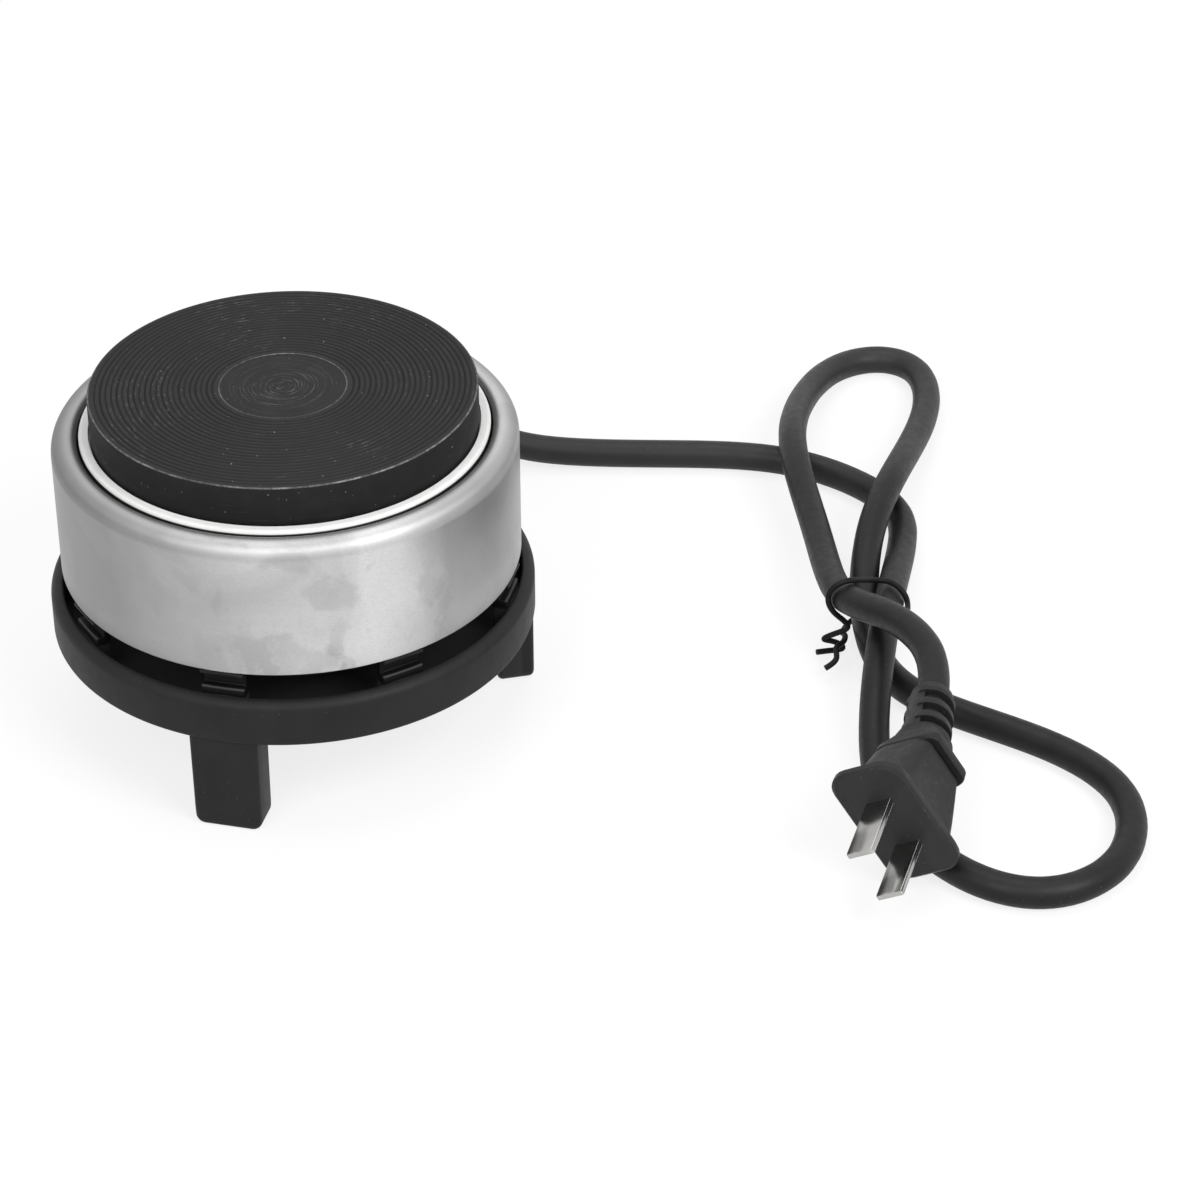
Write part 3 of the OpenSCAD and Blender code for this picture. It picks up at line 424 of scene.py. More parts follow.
def makeBase():
    s = baseSettings
    r, inner, hub, hubTop = s["radius"], s["radius"] - s["wall"], s["hub"], s["floor"] + s["hubRise"]
    under, top, lip, dish = s["round"], s["topRound"], s["innerRound"], s["floorRound"]
    profile = [(s["hole"], s["foot"])] + [(cut, s["foot"]) for cut in s["floorCuts"]]
    profile += arcPoints(r - under, s["foot"] + under, under, -90, 0, 6)
    profile += [(r, s["sideCut"])]
    profile += arcPoints(r - top, s["rim"] - top, top, 0, 90, 9)
    profile += arcPoints(inner + lip, s["rim"] - lip, lip, 90, 180, 4)
    profile += [(inner, s["floor"] + dish)]
    profile += arcPoints(inner - dish, s["floor"] + dish, dish, 0, -90, 4)[1:]
    profile += [(s["floorCuts"][0], s["floor"]), (hub, s["floor"]), (hub, hubTop - s["hubEase"])]
    profile += [(hub - s["hubEase"], hubTop), (s["hole"], hubTop), profile[0]]
    base = turnProfile("footed_base", profile, s["steps"])
    post = makePost(s["postWidth"], s["postFront"])
    tools = [copyTurned(post, a) for a in s["posts"]]
    bpy.data.objects.remove(post)
    wide = makePost(s["outletPost"], s["outletFront"])
    putAt(wide, (0, 0, 0), (0, 0, outlet["turn"]))
    tools.append(wide)
    leg = makeLeg()
    tools += [copyTurned(leg, a - 90) for a in s["legs"]]
    bpy.data.objects.remove(leg)
    low, seat, pin, ease = s["clampFoot"], s["clampSeat"], s["clampBoss"], s["clampEase"]
    for side in (-1, 1):
        boss = turnProfile("boss", [(0, low), (pin, low), (pin, seat - ease), (pin - ease, seat), (0, seat)], 32)
        putAt(boss, (s["clampAlong"], side * s["clampAside"], 0))
        putAt(boss, (0, 0, 0), (0, 0, outlet["turn"]))
        tools.append(boss)
    unite(base, joinAll(tools))
    first, last = s["boreRun"]
    bore = turnProfile("bore", [(0, first), (s["bore"], first), (s["bore"], last), (0, last)], 48)
    putAt(bore, (0, 0, outlet["height"]), (0, 90, outlet["turn"]))
    unite(base, bore, "DIFFERENCE")
    softShade(base, 35)
    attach(base, "body")
    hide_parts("base")
    return base


footedBase = makeBase()
print("base moulded:", len(footedBase.data.polygons), "faces")

# Boot round the cord where it leaves the base
bootSettings = {
    "bore": 3.7, "neck": 4.8, "collar": 6, "start": 49.1, "wall": 56, "end": 78,
    "rings": 5, "firstRing": 3, "ringPitch": 3.4, "ring": 5.5,
    "ringTaper": 0.14, "ringDepth": 0.75, "ringEase": 0.15,
    "tip": ((4.75, 1.4), (4.6, 0.4), (4.3, 0)),  # radius, distance from the end
}


def makeBoot():
    s = bootSettings
    wall, collar = s["wall"], s["collar"]
    profile = [(s["bore"], s["start"]), (s["neck"], s["start"]), (s["neck"], wall), (collar - 0.3, wall)]
    profile += [(collar, wall + 0.3), (collar, wall + 1.7), (collar - 0.3, wall + 2)]
    for k in range(s["rings"]):  # bending rings that get smaller towards the tip
        u, big = wall + s["firstRing"] + s["ringPitch"] * k, s["ring"] - s["ringTaper"] * k
        root, side = big - s["ringDepth"], big - s["ringEase"]
        profile += [(root, u), (root, u + 0.9), (side, u + 1.1), (big, u + 1.4), (big, u + 2.9), (side, u + 3.2)]
    profile += [(r, s["end"] - back) for r, back in s["tip"]] + [(s["bore"], s["end"]), profile[0]]
    boot = turnProfile("cord_boot", profile, 56)
    putAt(boot, (0, 0, outlet["height"]), (0, 90, outlet["turn"]))
    softShade(boot, 40)
    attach(boot, "body")
    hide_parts("strain_relief")
    return boot


cordBoot = makeBoot()
print("boot made")

# Plug: face flange, tapered grip with a ridge, slotted neck bent towards the cord
plugSettings = {
    "face": (31.8, 18.5), "corner": 5, "setBack": 0.7,
    # distance behind the blades' root, width, thickness, shift towards the ridge's side
    "sections": [
        (1.3, 31.8, 18.5, 0), (2.7, 31.8, 18.5, 0), (3.3, 30.6, 17.9, 0), (3.9, 22.6, 17, 0), (8, 20.8, 16.7, 0),
        (13, 18.4, 16.1, 0), (17, 16.2, 15.7, 0), (18.2, 15.6, 15.5, 0), (18.4, 15.4, 14, 0), (19.3, 15.1, 14, 0),
        (19.5, 15.6, 16.4, 0.5), (19.9, 16, 16.7, 0.5), (21.5, 15.6, 16.7, 0.5), (21.9, 15.2, 16.4, 0.5),
        (22.1, 13.9, 14.6, 0), (25, 11.8, 12.2, 0), (27, 11.4, 11.4, 0),
    ],
    "faceShare": (0.955, 0.93), "roundFrom": 24,
    "neckStart": 25, "neck": (5.7, 4.9), "core": 4.0, "coreRun": (-26, -43),
    "slots": (28.9, 33.8, 38.7), "slotWidth": 2.3, "slotTurn": -16, "spine": 0, "slotTop": 9,
    "flatTurn": 113, "flatCut": [(-28.2, 5.0), (-27, 9), (-46, 9), (-46, 4.8)],
}


def makePlug():
    s = plugSettings
    clearSelection()
    bpy.ops.mesh.primitive_plane_add(size=1, rotation=(0, -math.pi / 2, 0))
    plug = bpy.context.object
    plug.name = "moulded_plug"
    bpy.ops.object.transform_apply(location=True, rotation=True, scale=True)
    bpy.ops.object.mode_set(mode="EDIT")
    bpy.ops.mesh.select_all(action="SELECT")
    bpy.ops.transform.resize(value=(1, s["face"][0] * mm, s["face"][1] * mm))
    bpy.ops.mesh.bevel(offset=s["corner"] * mm, segments=6, affect="VERTICES")
    bpy.ops.object.mode_set(mode="OBJECT")
    selectEdges(plug, lambda a, b: (a - b).length > 4 * mm)
    bpy.ops.mesh.subdivide(number_cuts=7)
    bpy.ops.mesh.select_all(action="SELECT")
    bpy.ops.transform.resize(value=(1, *s["faceShare"]))
    bpy.ops.transform.translate(value=(-s["setBack"] * mm, 0, 0))
    wide, thick = [full * share for full, share in zip(s["face"], s["faceShare"])]
    at, side = s["setBack"], 0
    for x, w, h, shift in s["sections"]:
        move = ((at - x) * mm, (shift - side) * mm, (shift - side) * mm)
        bpy.ops.mesh.extrude_region_move(TRANSFORM_OT_translate={"value": move})
        bpy.ops.transform.resize(value=(1, w / wide, h / thick))
        if x >= s["roundFrom"]:
            bpy.ops.transform.tosphere(value=0.5 if x < plugPose["neckRoot"] else 1.0)
        at, wide, thick, side = x, w, h, shift
    bpy.ops.mesh.select_all(action="SELECT")
    bpy.ops.mesh.normals_make_consistent(inside=False)
    bpy.ops.object.mode_set(mode="OBJECT")
    neck = makeNeck()
    plug = joinAll([plug, neck])
    plug.name = "moulded_plug"
    putAt(plug, plugPose["place"], plugPose["turn"])
    softShade(plug, 32)
    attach(plug, "body")
    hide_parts("plug_body")
    return plug


def makeNeck():
    s = plugSettings
    big, small = s["neck"]
    start, end = s["neckStart"], plugPose["neckRoot"] + plugPose["neckLength"]
    half = s["slotWidth"] / 2
    profile = [(0, -start), (big, -start), (big, -s["slots"][0] + 1)]
    for k, at in enumerate(s["slots"]):  # full rings between the slots
        r = big - 0.12 * k
        profile += [(r - 0.3, -at + half + 0.02), (r - 0.3, -at - half - 0.02), (r, -at - 1.2), (r, -at - 2.6)]
    profile += [(small + 0.1, -end + 2), (small, -end + 0.6), (small - 0.4, -end), (0, -end)]
    neck = turnProfile("neck", profile, 48)
    cutters = []
    for at in s["slots"]:
        left, right = -at - half, -at + half
        outline = [(left, s["spine"]), (right, s["spine"]), (right, s["slotTop"]), (left, s["slotTop"])]
        cutters.append(extrudeOutline("slot", outline, 16))
    cutters = joinAll(cutters)
    putAt(cutters, (0, 0, 0), (s["slotTurn"], 0, 0))
    putAt(neck, (0, 0, 0), (0, 90, 0))
    unite(neck, cutters, "DIFFERENCE")
    # the rings stop at a flat strip along one side
    flat = extrudeOutline("flat", s["flatCut"], 14)
    putAt(flat, (0, 0, 0), (s["flatTurn"], 0, 0))
    unite(neck, flat, "DIFFERENCE")
    first, last = s["coreRun"]
    core = turnProfile("core", [(0, first), (s["core"], first), (s["core"], last), (0, last)], 40)
    putAt(core, (0, 0, 0), (0, 90, 0))
    neck = joinAll([neck, core])
    # bend it about its root
    putAt(neck, (plugPose["neckRoot"], 0, 0))
    putAt(neck, (-plugPose["neckRoot"], 0, 0), (0, -plugPose["neckTilt"], 0))
    return neck


mouldedPlug = makePlug()
print("plug moulded:", len(mouldedPlug.data.polygons), "faces")

# Blades: folded strip with a seam along its edges and a bevelled tip
bladeSettings = {
    "width": 6.35, "thick": 1.5, "apart": 12.7, "out": 15.5, "inside": 9, "seam": 0.62, "seamShare": 0.955,
    "tipBevel": 0.55, "cornerBevel": 0.5, "edgeBevel": 0.16, "paintedHighlightEdge": 0.06,
}


def makeBlades():
    s = bladeSettings
    clearSelection()
    bpy.ops.mesh.primitive_cube_add(size=1)
    blade = bpy.context.object
    blade.name = "blade"
    bpy.ops.object.mode_set(mode="EDIT")
    bpy.ops.transform.resize(value=((s["out"] + s["inside"]) * mm, s["thick"] * mm, s["width"] * mm))
    bpy.ops.transform.translate(value=((s["out"] - s["inside"]) / 2 * mm, 0, 0))
    bpy.ops.object.mode_set(mode="OBJECT")
    near = 0.00001
    tip = s["out"] * mm - near
    selectEdges(blade, lambda a, b: a.x > tip and b.x > tip and abs(a.y - b.y) < near)  # long tip edges
    bpy.ops.mesh.bevel(offset=s["tipBevel"] * mm, segments=2, affect="EDGES")
    selectEdges(blade, lambda a, b: a.x > tip and b.x > tip and abs(a.z - b.z) < near)  # its corners
    bpy.ops.mesh.bevel(offset=s["cornerBevel"] * mm, segments=3, affect="EDGES")
    selectFaces(blade, lambda c, n: abs(n.z) > 0.9)
    bpy.ops.mesh.inset(thickness=s["seam"] * mm, use_individual=True)
    bpy.ops.transform.resize(value=(1, 1, s["seamShare"]))
    bpy.ops.object.mode_set(mode="OBJECT")
    addModifier(blade, "BEVEL", width=s["edgeBevel"] * mm, segments=2, limit_method="ANGLE", angle_limit=sharpEdge)
    blades = []
    for side in (-1, 1):
        pick(blade)
        bpy.ops.object.duplicate()
        copy = bpy.context.object
        putAt(copy, (0, side * s["apart"] / 2, 0))
        blades.append(copy)
    bpy.data.objects.remove(blade)
    pair = joinAll(blades)
    pair.name = "plug_blade_pair"
    putAt(pair, plugPose["place"], plugPose["turn"])
    softShade(pair, 30)
    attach(pair, "body")
    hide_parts("plug_blades")
    return pair


plugBlades = makeBlades()
print("blades made")


# Materials. Object coordinates are in metres, so scales are features per metre
def newFinish(name, colour, roughness, metallic=0.0):
    finish = bpy.data.materials.new(name)
    finish.use_nodes = True
    shader = finish.node_tree.nodes["Principled BSDF"]
    shader.inputs["Base Color"].default_value = (*colour, 1)
    shader.inputs["Roughness"].default_value = roughness
    shader.inputs["Metallic"].default_value = metallic
    return finish


def addNode(finish, kind, **settings):
    node = finish.node_tree.nodes.new("ShaderNode" + kind)
    for key, value in settings.items():
        if key in node.inputs:
            node.inputs[key].default_value = value
        else:
            setattr(node, key, value)
    return node


def wire(finish, source, target):
    finish.node_tree.links.new(source, target)


def shaderOf(finish):
    return finish.node_tree.nodes["Principled BSDF"]


def placeOf(finish):
    return addNode(finish, "TexCoord").outputs["Object"]


def addNoise(finish, place, scale, detail=4.0, rough=0.55, distortion=0.0):
    noise = addNode(finish, "TexNoise", Scale=scale, Detail=detail, Roughness=rough, Distortion=distortion)
    wire(finish, place, noise.inputs["Vector"])
    return noise.outputs["Fac"]


def stretch(finish, place, amounts):
    mapping = addNode(finish, "Mapping", Scale=amounts)
    wire(finish, place, mapping.inputs["Vector"])
    return mapping.outputs["Vector"]


def spread(finish, value, fromLow, fromHigh, low, high):
    node = addNode(finish, "MapRange")
    wire(finish, value, node.inputs["Value"])
    for key, number in (("From Min", fromLow), ("From Max", fromHigh), ("To Min", low), ("To Max", high)):
        node.inputs[key].default_value = number
    return node.outputs["Result"]


def ramp(finish, value, stops):
    node = addNode(finish, "ValToRGB")
    wire(finish, value, node.inputs["Fac"])
    cells = node.color_ramp.elements
    while len(cells) < len(stops):
        cells.new(0.5)
    for cell, (at, colour) in zip(cells, stops):
        cell.position = at
        cell.color = (*colour, 1)
    return node.outputs["Color"]


def combine(finish, kind, a, b):
    node = addNode(finish, "Math", operation=kind)
    for socket, value in zip(node.inputs, (a, b)):
        if isinstance(value, (int, float)):
            socket.default_value = value
        else:
            wire(finish, value, socket)
    return node.outputs["Value"]


def times(finish, a, b):
    return combine(finish, "MULTIPLY", a, b)


def mixColour(finish, share, a, b):
    node = addNode(finish, "Mix", data_type="RGBA")
    wire(finish, share, node.inputs[0])
    for socket, value in ((node.inputs[6], a), (node.inputs[7], b)):
        if isinstance(value, tuple):
            socket.default_value = (*value, 1)
        else:
            wire(finish, value, socket)
    return node.outputs[2]


def addBump(finish, height, strength, distance):
    bump = addNode(finish, "Bump", Strength=strength, Distance=distance)
    wire(finish, height, bump.inputs["Height"])
    wire(finish, bump.outputs["Normal"], shaderOf(finish).inputs["Normal"])


def radiusOf(finish, place):
    flat = stretch(finish, place, (1, 1, 0))
    node = addNode(finish, "VectorMath", operation="LENGTH")
    wire(finish, flat, node.inputs[0])
    return node.outputs["Value"]


def heightOf(finish, place):
    parts = addNode(finish, "SeparateXYZ")
    wire(finish, place, parts.inputs[0])
    return parts.outputs["Z"]


def polarOf(finish, place, around, outward, upward):
    # angle, radius and height as a place to draw on, each with its own scale
    parts = addNode(finish, "SeparateXYZ")
    wire(finish, place, parts.inputs[0])
    angle = combine(finish, "ARCTAN2", parts.outputs["Y"], parts.outputs["X"])
    node = addNode(finish, "CombineXYZ")
    wire(finish, times(finish, angle, around), node.inputs["X"])
    wire(finish, times(finish, radiusOf(finish, place), outward), node.inputs["Y"])
    wire(finish, times(finish, parts.outputs["Z"], upward), node.inputs["Z"])
    return node.outputs["Vector"]


def ringAt(finish, radius, at, half):
    # 1 on a thin circle of the given radius in metres, fading to 0 at half its width
    away = combine(finish, "ABSOLUTE", combine(finish, "SUBTRACT", radius, at), 0)
    return spread(finish, away, 0, half, 1, 0)


def makeCastIron():
    finish = newFinish("cast_iron_turned", (0.02, 0.02, 0.02), 0.6)
    shader, place = shaderOf(finish), placeOf(finish)
    cloud = addNoise(finish, place, 160, 5)
    marks = addNoise(finish, polarOf(finish, place, 2.2, 2600, 900), 1.0, 4, 0.7)
    radius, height = radiusOf(finish, place), heightOf(finish, place)
    shader.inputs["Specular IOR Level"].default_value = 0.1
    tone = ramp(finish, cloud, [(0.3, (0.0094, 0.0094, 0.0094)), (0.72, (0.0152, 0.0152, 0.015))])
    # ridge tops lighter than the grooves between them: painted shade in the grooves, and wear rubbed on the ridges
    grooveShadeAndRidgeWear = mixColour(finish, spread(finish, height, 0.0837, 0.08398, 0, 1), tone, (0.021, 0.021, 0.0208))
    scuffed = mixColour(finish, spread(finish, marks, 0.62, 0.76, 0, 0.3), grooveShadeAndRidgeWear, (0.048, 0.048, 0.047))
    dashes = addNoise(finish, polarOf(finish, place, 15, 2600, 900), 1.0, 2, 0.5)
    ridge = spread(finish, height, 0.0838, 0.08396, 0, 1)
    dashes = times(finish, spread(finish, dashes, 0.6, 0.7, 0, 0.5), ridge)
    dashes = times(finish, dashes, spread(finish, addNoise(finish, place, 48, 2), 0.5, 0.62, 0.06, 1))
    scuffed = mixColour(finish, dashes, scuffed, (0.13, 0.13, 0.128))
    # silver wear in a fine broken line along the top edge, on the middle circle and in the centre
    fine = addNoise(finish, place, 900, 6, 0.75)
    broad = addNoise(finish, place, 70, 2)
    edge = spread(finish, radius, 0.04352, 0.04362, 0, 1)
    edge = times(finish, edge, spread(finish, height, 0.08368, 0.08378, 0, 1))
    edge = times(finish, edge, spread(finish, addNoise(finish, place, 210, 3), 0.45, 0.66, 0.36, 0.76))
    circle = ringAt(finish, radius, 0.01436, 0.0002)
    circle = times(finish, circle, spread(finish, broad, 0.35, 0.6, 0.2, 0.75))
    arcs = addNoise(finish, polarOf(finish, place, 0.7, 2200, 0), 1.0, 2, 0.5)
    scores = spread(finish, arcs, 0.54, 0.7, 0, 0.45)
    scores = times(finish, scores, spread(finish, radius, 0.013, 0.002, 0.1, 1))
    scores = times(finish, scores, spread(finish, radius, 0.0142, 0.0138, 0, 1))
    lines = combine(finish, "MAXIMUM", edge, combine(finish, "MAXIMUM", circle, scores))
    worn = times(finish, lines, spread(finish, fine, 0.36, 0.6, 0.12, 0.8))
    specks = spread(finish, addNoise(finish, place, 1300, 1, 0.5), 0.765, 0.79, 0, 0.6)
    worn = combine(finish, "MAXIMUM", worn, specks)
    wire(finish, mixColour(finish, worn, scuffed, (0.34, 0.34, 0.335)), shader.inputs["Base Color"])
    wire(finish, times(finish, worn, 0.5), shader.inputs["Metallic"])
    rough = spread(finish, cloud, 0.3, 0.7, 0.52, 0.68)
    wire(finish, combine(finish, "SUBTRACT", rough, times(finish, worn, 0.2)), shader.inputs["Roughness"])
    grain = addNoise(finish, place, 1500, 5, 0.65)
    addBump(finish, combine(finish, "ADD", grain, marks), 0.3, 0.0001)
    return finish


# painted reflections, light and dark round the drawn wall: bearing in degrees, reflectance
paintedWallReflections = (
    (90, 0.45), (200, 0.31), (225, 0.31), (250, 0.45), (285, 0.74),
    (298, 0.72), (312, 0.47), (330, 0.39), (360, 0.48), (450, 0.45),
)

# painted shade and highlight from the lip to the wall: share of the way, part of the wall's tone
crownPaintedShadeAndHighlight = ((0.0, 0.3), (0.12, 0.5), (0.22, 0.82), (0.45, 0.86), (0.7, 0.72), (0.9, 0.69), (1.0, 0.95))


def makeSatinSteel():
    finish = newFinish("satin_drawn_steel", (0.5, 0.5, 0.5), 0.34, 1.0)
    shader, place = shaderOf(finish), placeOf(finish)
    shader.inputs["Anisotropic"].default_value = 0.6
    around = addNode(finish, "Tangent", direction_type="RADIAL", axis="Z")
    wire(finish, around.outputs["Tangent"], shader.inputs["Tangent"])
    parts = addNode(finish, "SeparateXYZ")
    wire(finish, place, parts.inputs[0])
    # bearing from the front, with its seam at the back
    bearing = combine(finish, "ARCTAN2", parts.outputs["X"], times(finish, parts.outputs["Y"], -1))
    swirl = addNoise(finish, place, 26, 3, 0.5, 0.5)
    bearing = combine(finish, "ADD", bearing, spread(finish, swirl, 0.3, 0.7, -0.12, 0.12))
    share = spread(finish, bearing, -math.pi, math.pi, 0, 1)
    # painted reflections: the wall's tone is set by its bearing round the shell
    tone = ramp(finish, share, [((a - 90) / 360, (v, v, v * 0.998)) for a, v in paintedWallReflections])
    cloud = addNoise(finish, stretch(finish, place, (1, 1, 0.7)), 34, 3, 0.5, 0.7)
    patch = addNoise(finish, place, 75, 3, 0.5, 0.4)
    # random dull patches: an uneven polish, and painted mottled reflections
    patchyPolishAndReflections = mixColour(finish, spread(finish, cloud, 0.5, 0.7, 0, 0.36), tone, (0.31, 0.31, 0.31))
    patchyPolishAndReflections = mixColour(finish, spread(finish, patch, 0.54, 0.61, 0, 0.32), patchyPolishAndReflections, (0.35, 0.35, 0.35))
    # crisp stains near the foot
    foot = spread(finish, parts.outputs["Z"], 0.058, 0.047, 0, 1)
    stain = addNoise(finish, stretch(finish, place, (1, 1, 0.8)), 120, 4, 0.6, 0.6)
    stain = times(finish, foot, spread(finish, stain, 0.56, 0.61, 0, 0.34))
    stained = mixColour(finish, stain, patchyPolishAndReflections, (0.34, 0.335, 0.335))
    # the crown is painted darker than the wall, darkest by the lip as painted shade, with a painted highlight on
    # its turn; it is rougher too
    crown = spread(finish, parts.outputs["Z"], 0.0703, 0.0712, 0, 1)
    across = spread(finish, radiusOf(finish, place), 0.047, 0.053, 0, 1)
    turn = ramp(finish, across, [(at, (v, v, v)) for at, v in crownPaintedShadeAndHighlight])
    shaded = addNode(finish, "Mix", data_type="RGBA", blend_type="MULTIPLY")
    wire(finish, crown, shaded.inputs[0])
    wire(finish, stained, shaded.inputs[6])
    wire(finish, turn, shaded.inputs[7])
    grain = addNoise(finish, polarOf(finish, place, 90, 1200, 5200), 1.0, 3, 0.6)
    grained = mixColour(finish, spread(finish, grain, 0.46, 0.68, 0, 0.2), shaded.outputs[2], (0.27, 0.27, 0.27))
    wire(finish, grained, shader.inputs["Base Color"])
    rough = spread(finish, cloud, 0.3, 0.7, 0.36, 0.44)
    wire(finish, combine(finish, "ADD", rough, times(finish, crown, 0.2)), shader.inputs["Roughness"])
    addBump(finish, grain, 0.06, 0.0001)
    return finish


def makeCeramic():
    finish = newFinish("white_ceramic", (0.86, 0.855, 0.83), 0.5)
    shader, place = shaderOf(finish), placeOf(finish)
    cloud = addNoise(finish, place, 220, 5)
    white = ramp(finish, cloud, [(0.3, (0.69, 0.688, 0.682)), (0.65, (0.75, 0.747, 0.74))])
    # painted shade: dark where the core's rim meets the shell, in the gap between them
    rim = spread(finish, radiusOf(finish, place), 0.0459, 0.0461, 0, 1)
    rim = times(finish, rim, spread(finish, heightOf(finish, place), 0.0739, 0.0737, 0, 1))
    wire(finish, mixColour(finish, rim, white, (0.02, 0.018, 0.017)), shader.inputs["Base Color"])
    shader.inputs["Specular IOR Level"].default_value = 0.1
    wire(finish, spread(finish, cloud, 0.3, 0.7, 0.65, 0.8), shader.inputs["Roughness"])
    addBump(finish, addNoise(finish, place, 1700, 4), 0.18, 0.0001)
    return finish


def makeBlackMoulding():
    finish = newFinish("black_moulding", (0.035, 0.035, 0.035), 0.5)
    shader, place = shaderOf(finish), placeOf(finish)
    cloud = addNoise(finish, place, 70, 4)
    specks = spread(finish, addNoise(finish, place, 1900, 2, 0.5), 0.735, 0.76, 0, 0.5)
    radius, height = radiusOf(finish, place), heightOf(finish, place)
    tone = ramp(finish, cloud, [(0.3, (0.0118, 0.012, 0.0122)), (0.7, (0.0165, 0.0167, 0.017))])
    # painted light: inside the ring the moulding is paler, as light in the gap under the shell
    tone = mixColour(finish, spread(finish, radius, 0.053, 0.0524, 0, 1), tone, (0.024, 0.024, 0.024))
    # painted shade: the posts are dark as if in the shade of the shell, with a painted highlight on the edge of
    # their step
    shade = spread(finish, radius, 0.0534, 0.0528, 0, 1)
    shade = times(finish, shade, spread(finish, height, 0.0342, 0.0348, 0, 1))
    tone = mixColour(finish, shade, tone, (0.003, 0.003, 0.003))
    step = times(finish, ringAt(finish, radius, 0.0525, 0.0005), ringAt(finish, height, 0.0367, 0.0005))
    tone = mixColour(finish, step, tone, (0.06, 0.06, 0.06))
    shader.inputs["Specular IOR Level"].default_value = 0.14
    wire(finish, mixColour(finish, specks, tone, (0.1, 0.1, 0.1)), shader.inputs["Base Color"])
    wire(finish, spread(finish, addNoise(finish, place, 420, 4), 0.3, 0.7, 0.47, 0.54), shader.inputs["Roughness"])
    addBump(finish, addNoise(finish, place, 2300, 3), 0.16, 0.0001)
    return finish


def makeBlackRubber(name, dark, light, sheen, paintedLightEnd, dusty):
    finish = newFinish(name, light, 0.55)
    shader, place = shaderOf(finish), placeOf(finish)
    cloud = addNoise(finish, place, 110, 4)
    dust = spread(finish, addNoise(finish, place, 1500, 2, 0.5), dusty, dusty + 0.04, 0, 0.6)
    shader.inputs["Specular IOR Level"].default_value = sheen
    tone = ramp(finish, cloud, [(0.3, dark), (0.7, light)])
    # painted light: paler towards one end: from and to in y, and how much
    parts = addNode(finish, "SeparateXYZ")
    wire(finish, place, parts.inputs[0])
    end = spread(finish, parts.outputs["Y"], paintedLightEnd[0], paintedLightEnd[1], 0, paintedLightEnd[2])
    tone = mixColour(finish, end, tone, (0.036, 0.036, 0.0365))
    wire(finish, mixColour(finish, dust, tone, (0.08, 0.08, 0.08)), shader.inputs["Base Color"])
    wire(finish, spread(finish, addNoise(finish, place, 500, 4), 0.3, 0.7, 0.4, 0.54), shader.inputs["Roughness"])
    addBump(finish, addNoise(finish, place, 2400, 4, 0.6), 0.08, 0.0001)
    return finish


def makeMetal(name, dark, light, rough, scale, scratch=0.08):
    finish = newFinish(name, light, rough[0], 1.0)
    shader, place = shaderOf(finish), placeOf(finish)
    cloud = addNoise(finish, place, scale, 4)
    wire(finish, ramp(finish, cloud, [(0.3, dark), (0.68, light)]), shader.inputs["Base Color"])
    wire(finish, spread(finish, cloud, 0.3, 0.7, rough[1], rough[0]), shader.inputs["Roughness"])
    addBump(finish, addNoise(finish, stretch(finish, place, (1, 1, 0.15)), scale * 9, 3), scratch, 0.0001)
    return finish


def makeMatt(name, dark, light, rough, scale, grain, sheen=0.5):
    finish = newFinish(name, light, rough[0])
    shader, place = shaderOf(finish), placeOf(finish)
    shader.inputs["Specular IOR Level"].default_value = sheen
    cloud = addNoise(finish, place, scale, 5)
    wire(finish, ramp(finish, cloud, [(0.32, dark), (0.68, light)]), shader.inputs["Base Color"])
    wire(finish, spread(finish, cloud, 0.3, 0.7, rough[0], rough[1]), shader.inputs["Roughness"])
    addBump(finish, addNoise(finish, place, grain, 3), 0.2, 0.0001)
    return finish


def makeSleeve():
    finish = newFinish("braided_sleeve", (0.8, 0.78, 0.7), 0.8)
    shader, place = shaderOf(finish), placeOf(finish)
    weaves = []
    for turn in (0.7, -0.7):
        mapping = addNode(finish, "Mapping", Rotation=(turn, turn, turn))
        wire(finish, place, mapping.inputs["Vector"])
        wave = addNode(finish, "TexWave", Scale=900.0, Distortion=0.4)
        wire(finish, mapping.outputs["Vector"], wave.inputs["Vector"])
        weaves.append(wave.outputs["Fac"])
    weave = times(finish, weaves[0], weaves[1])
    thread = ramp(finish, weave, [(0.0, (0.56, 0.53, 0.45)), (0.6, (0.82, 0.8, 0.73))])
    wire(finish, thread, shader.inputs["Base Color"])
    wire(finish, spread(finish, weave, 0, 1, 0.9, 0.7), shader.inputs["Roughness"])
    addBump(finish, weave, 0.4, 0.0002)
    return finish


castIron = makeCastIron()
satinSteel = makeSatinSteel()
whiteCeramic = makeCeramic()
blackMoulding = makeBlackMoulding()
blackRubber = makeBlackRubber(
    "black_rubber", (0.0055, 0.0055, 0.0057), (0.0095, 0.0095, 0.0098), 0.22, (0.07, 0.105, 0.5), 0.72)
plugRubber = makeBlackRubber(
    "plug_rubber", (0.0125, 0.0125, 0.0128), (0.0168, 0.0168, 0.0172), 0.16, (-0.071, -0.077, 0.3), 0.69)
nickelPlate = makeMetal("nickel_plate", (0.38, 0.375, 0.365), (0.48, 0.475, 0.46), (0.15, 0.23), 160, 0.01)
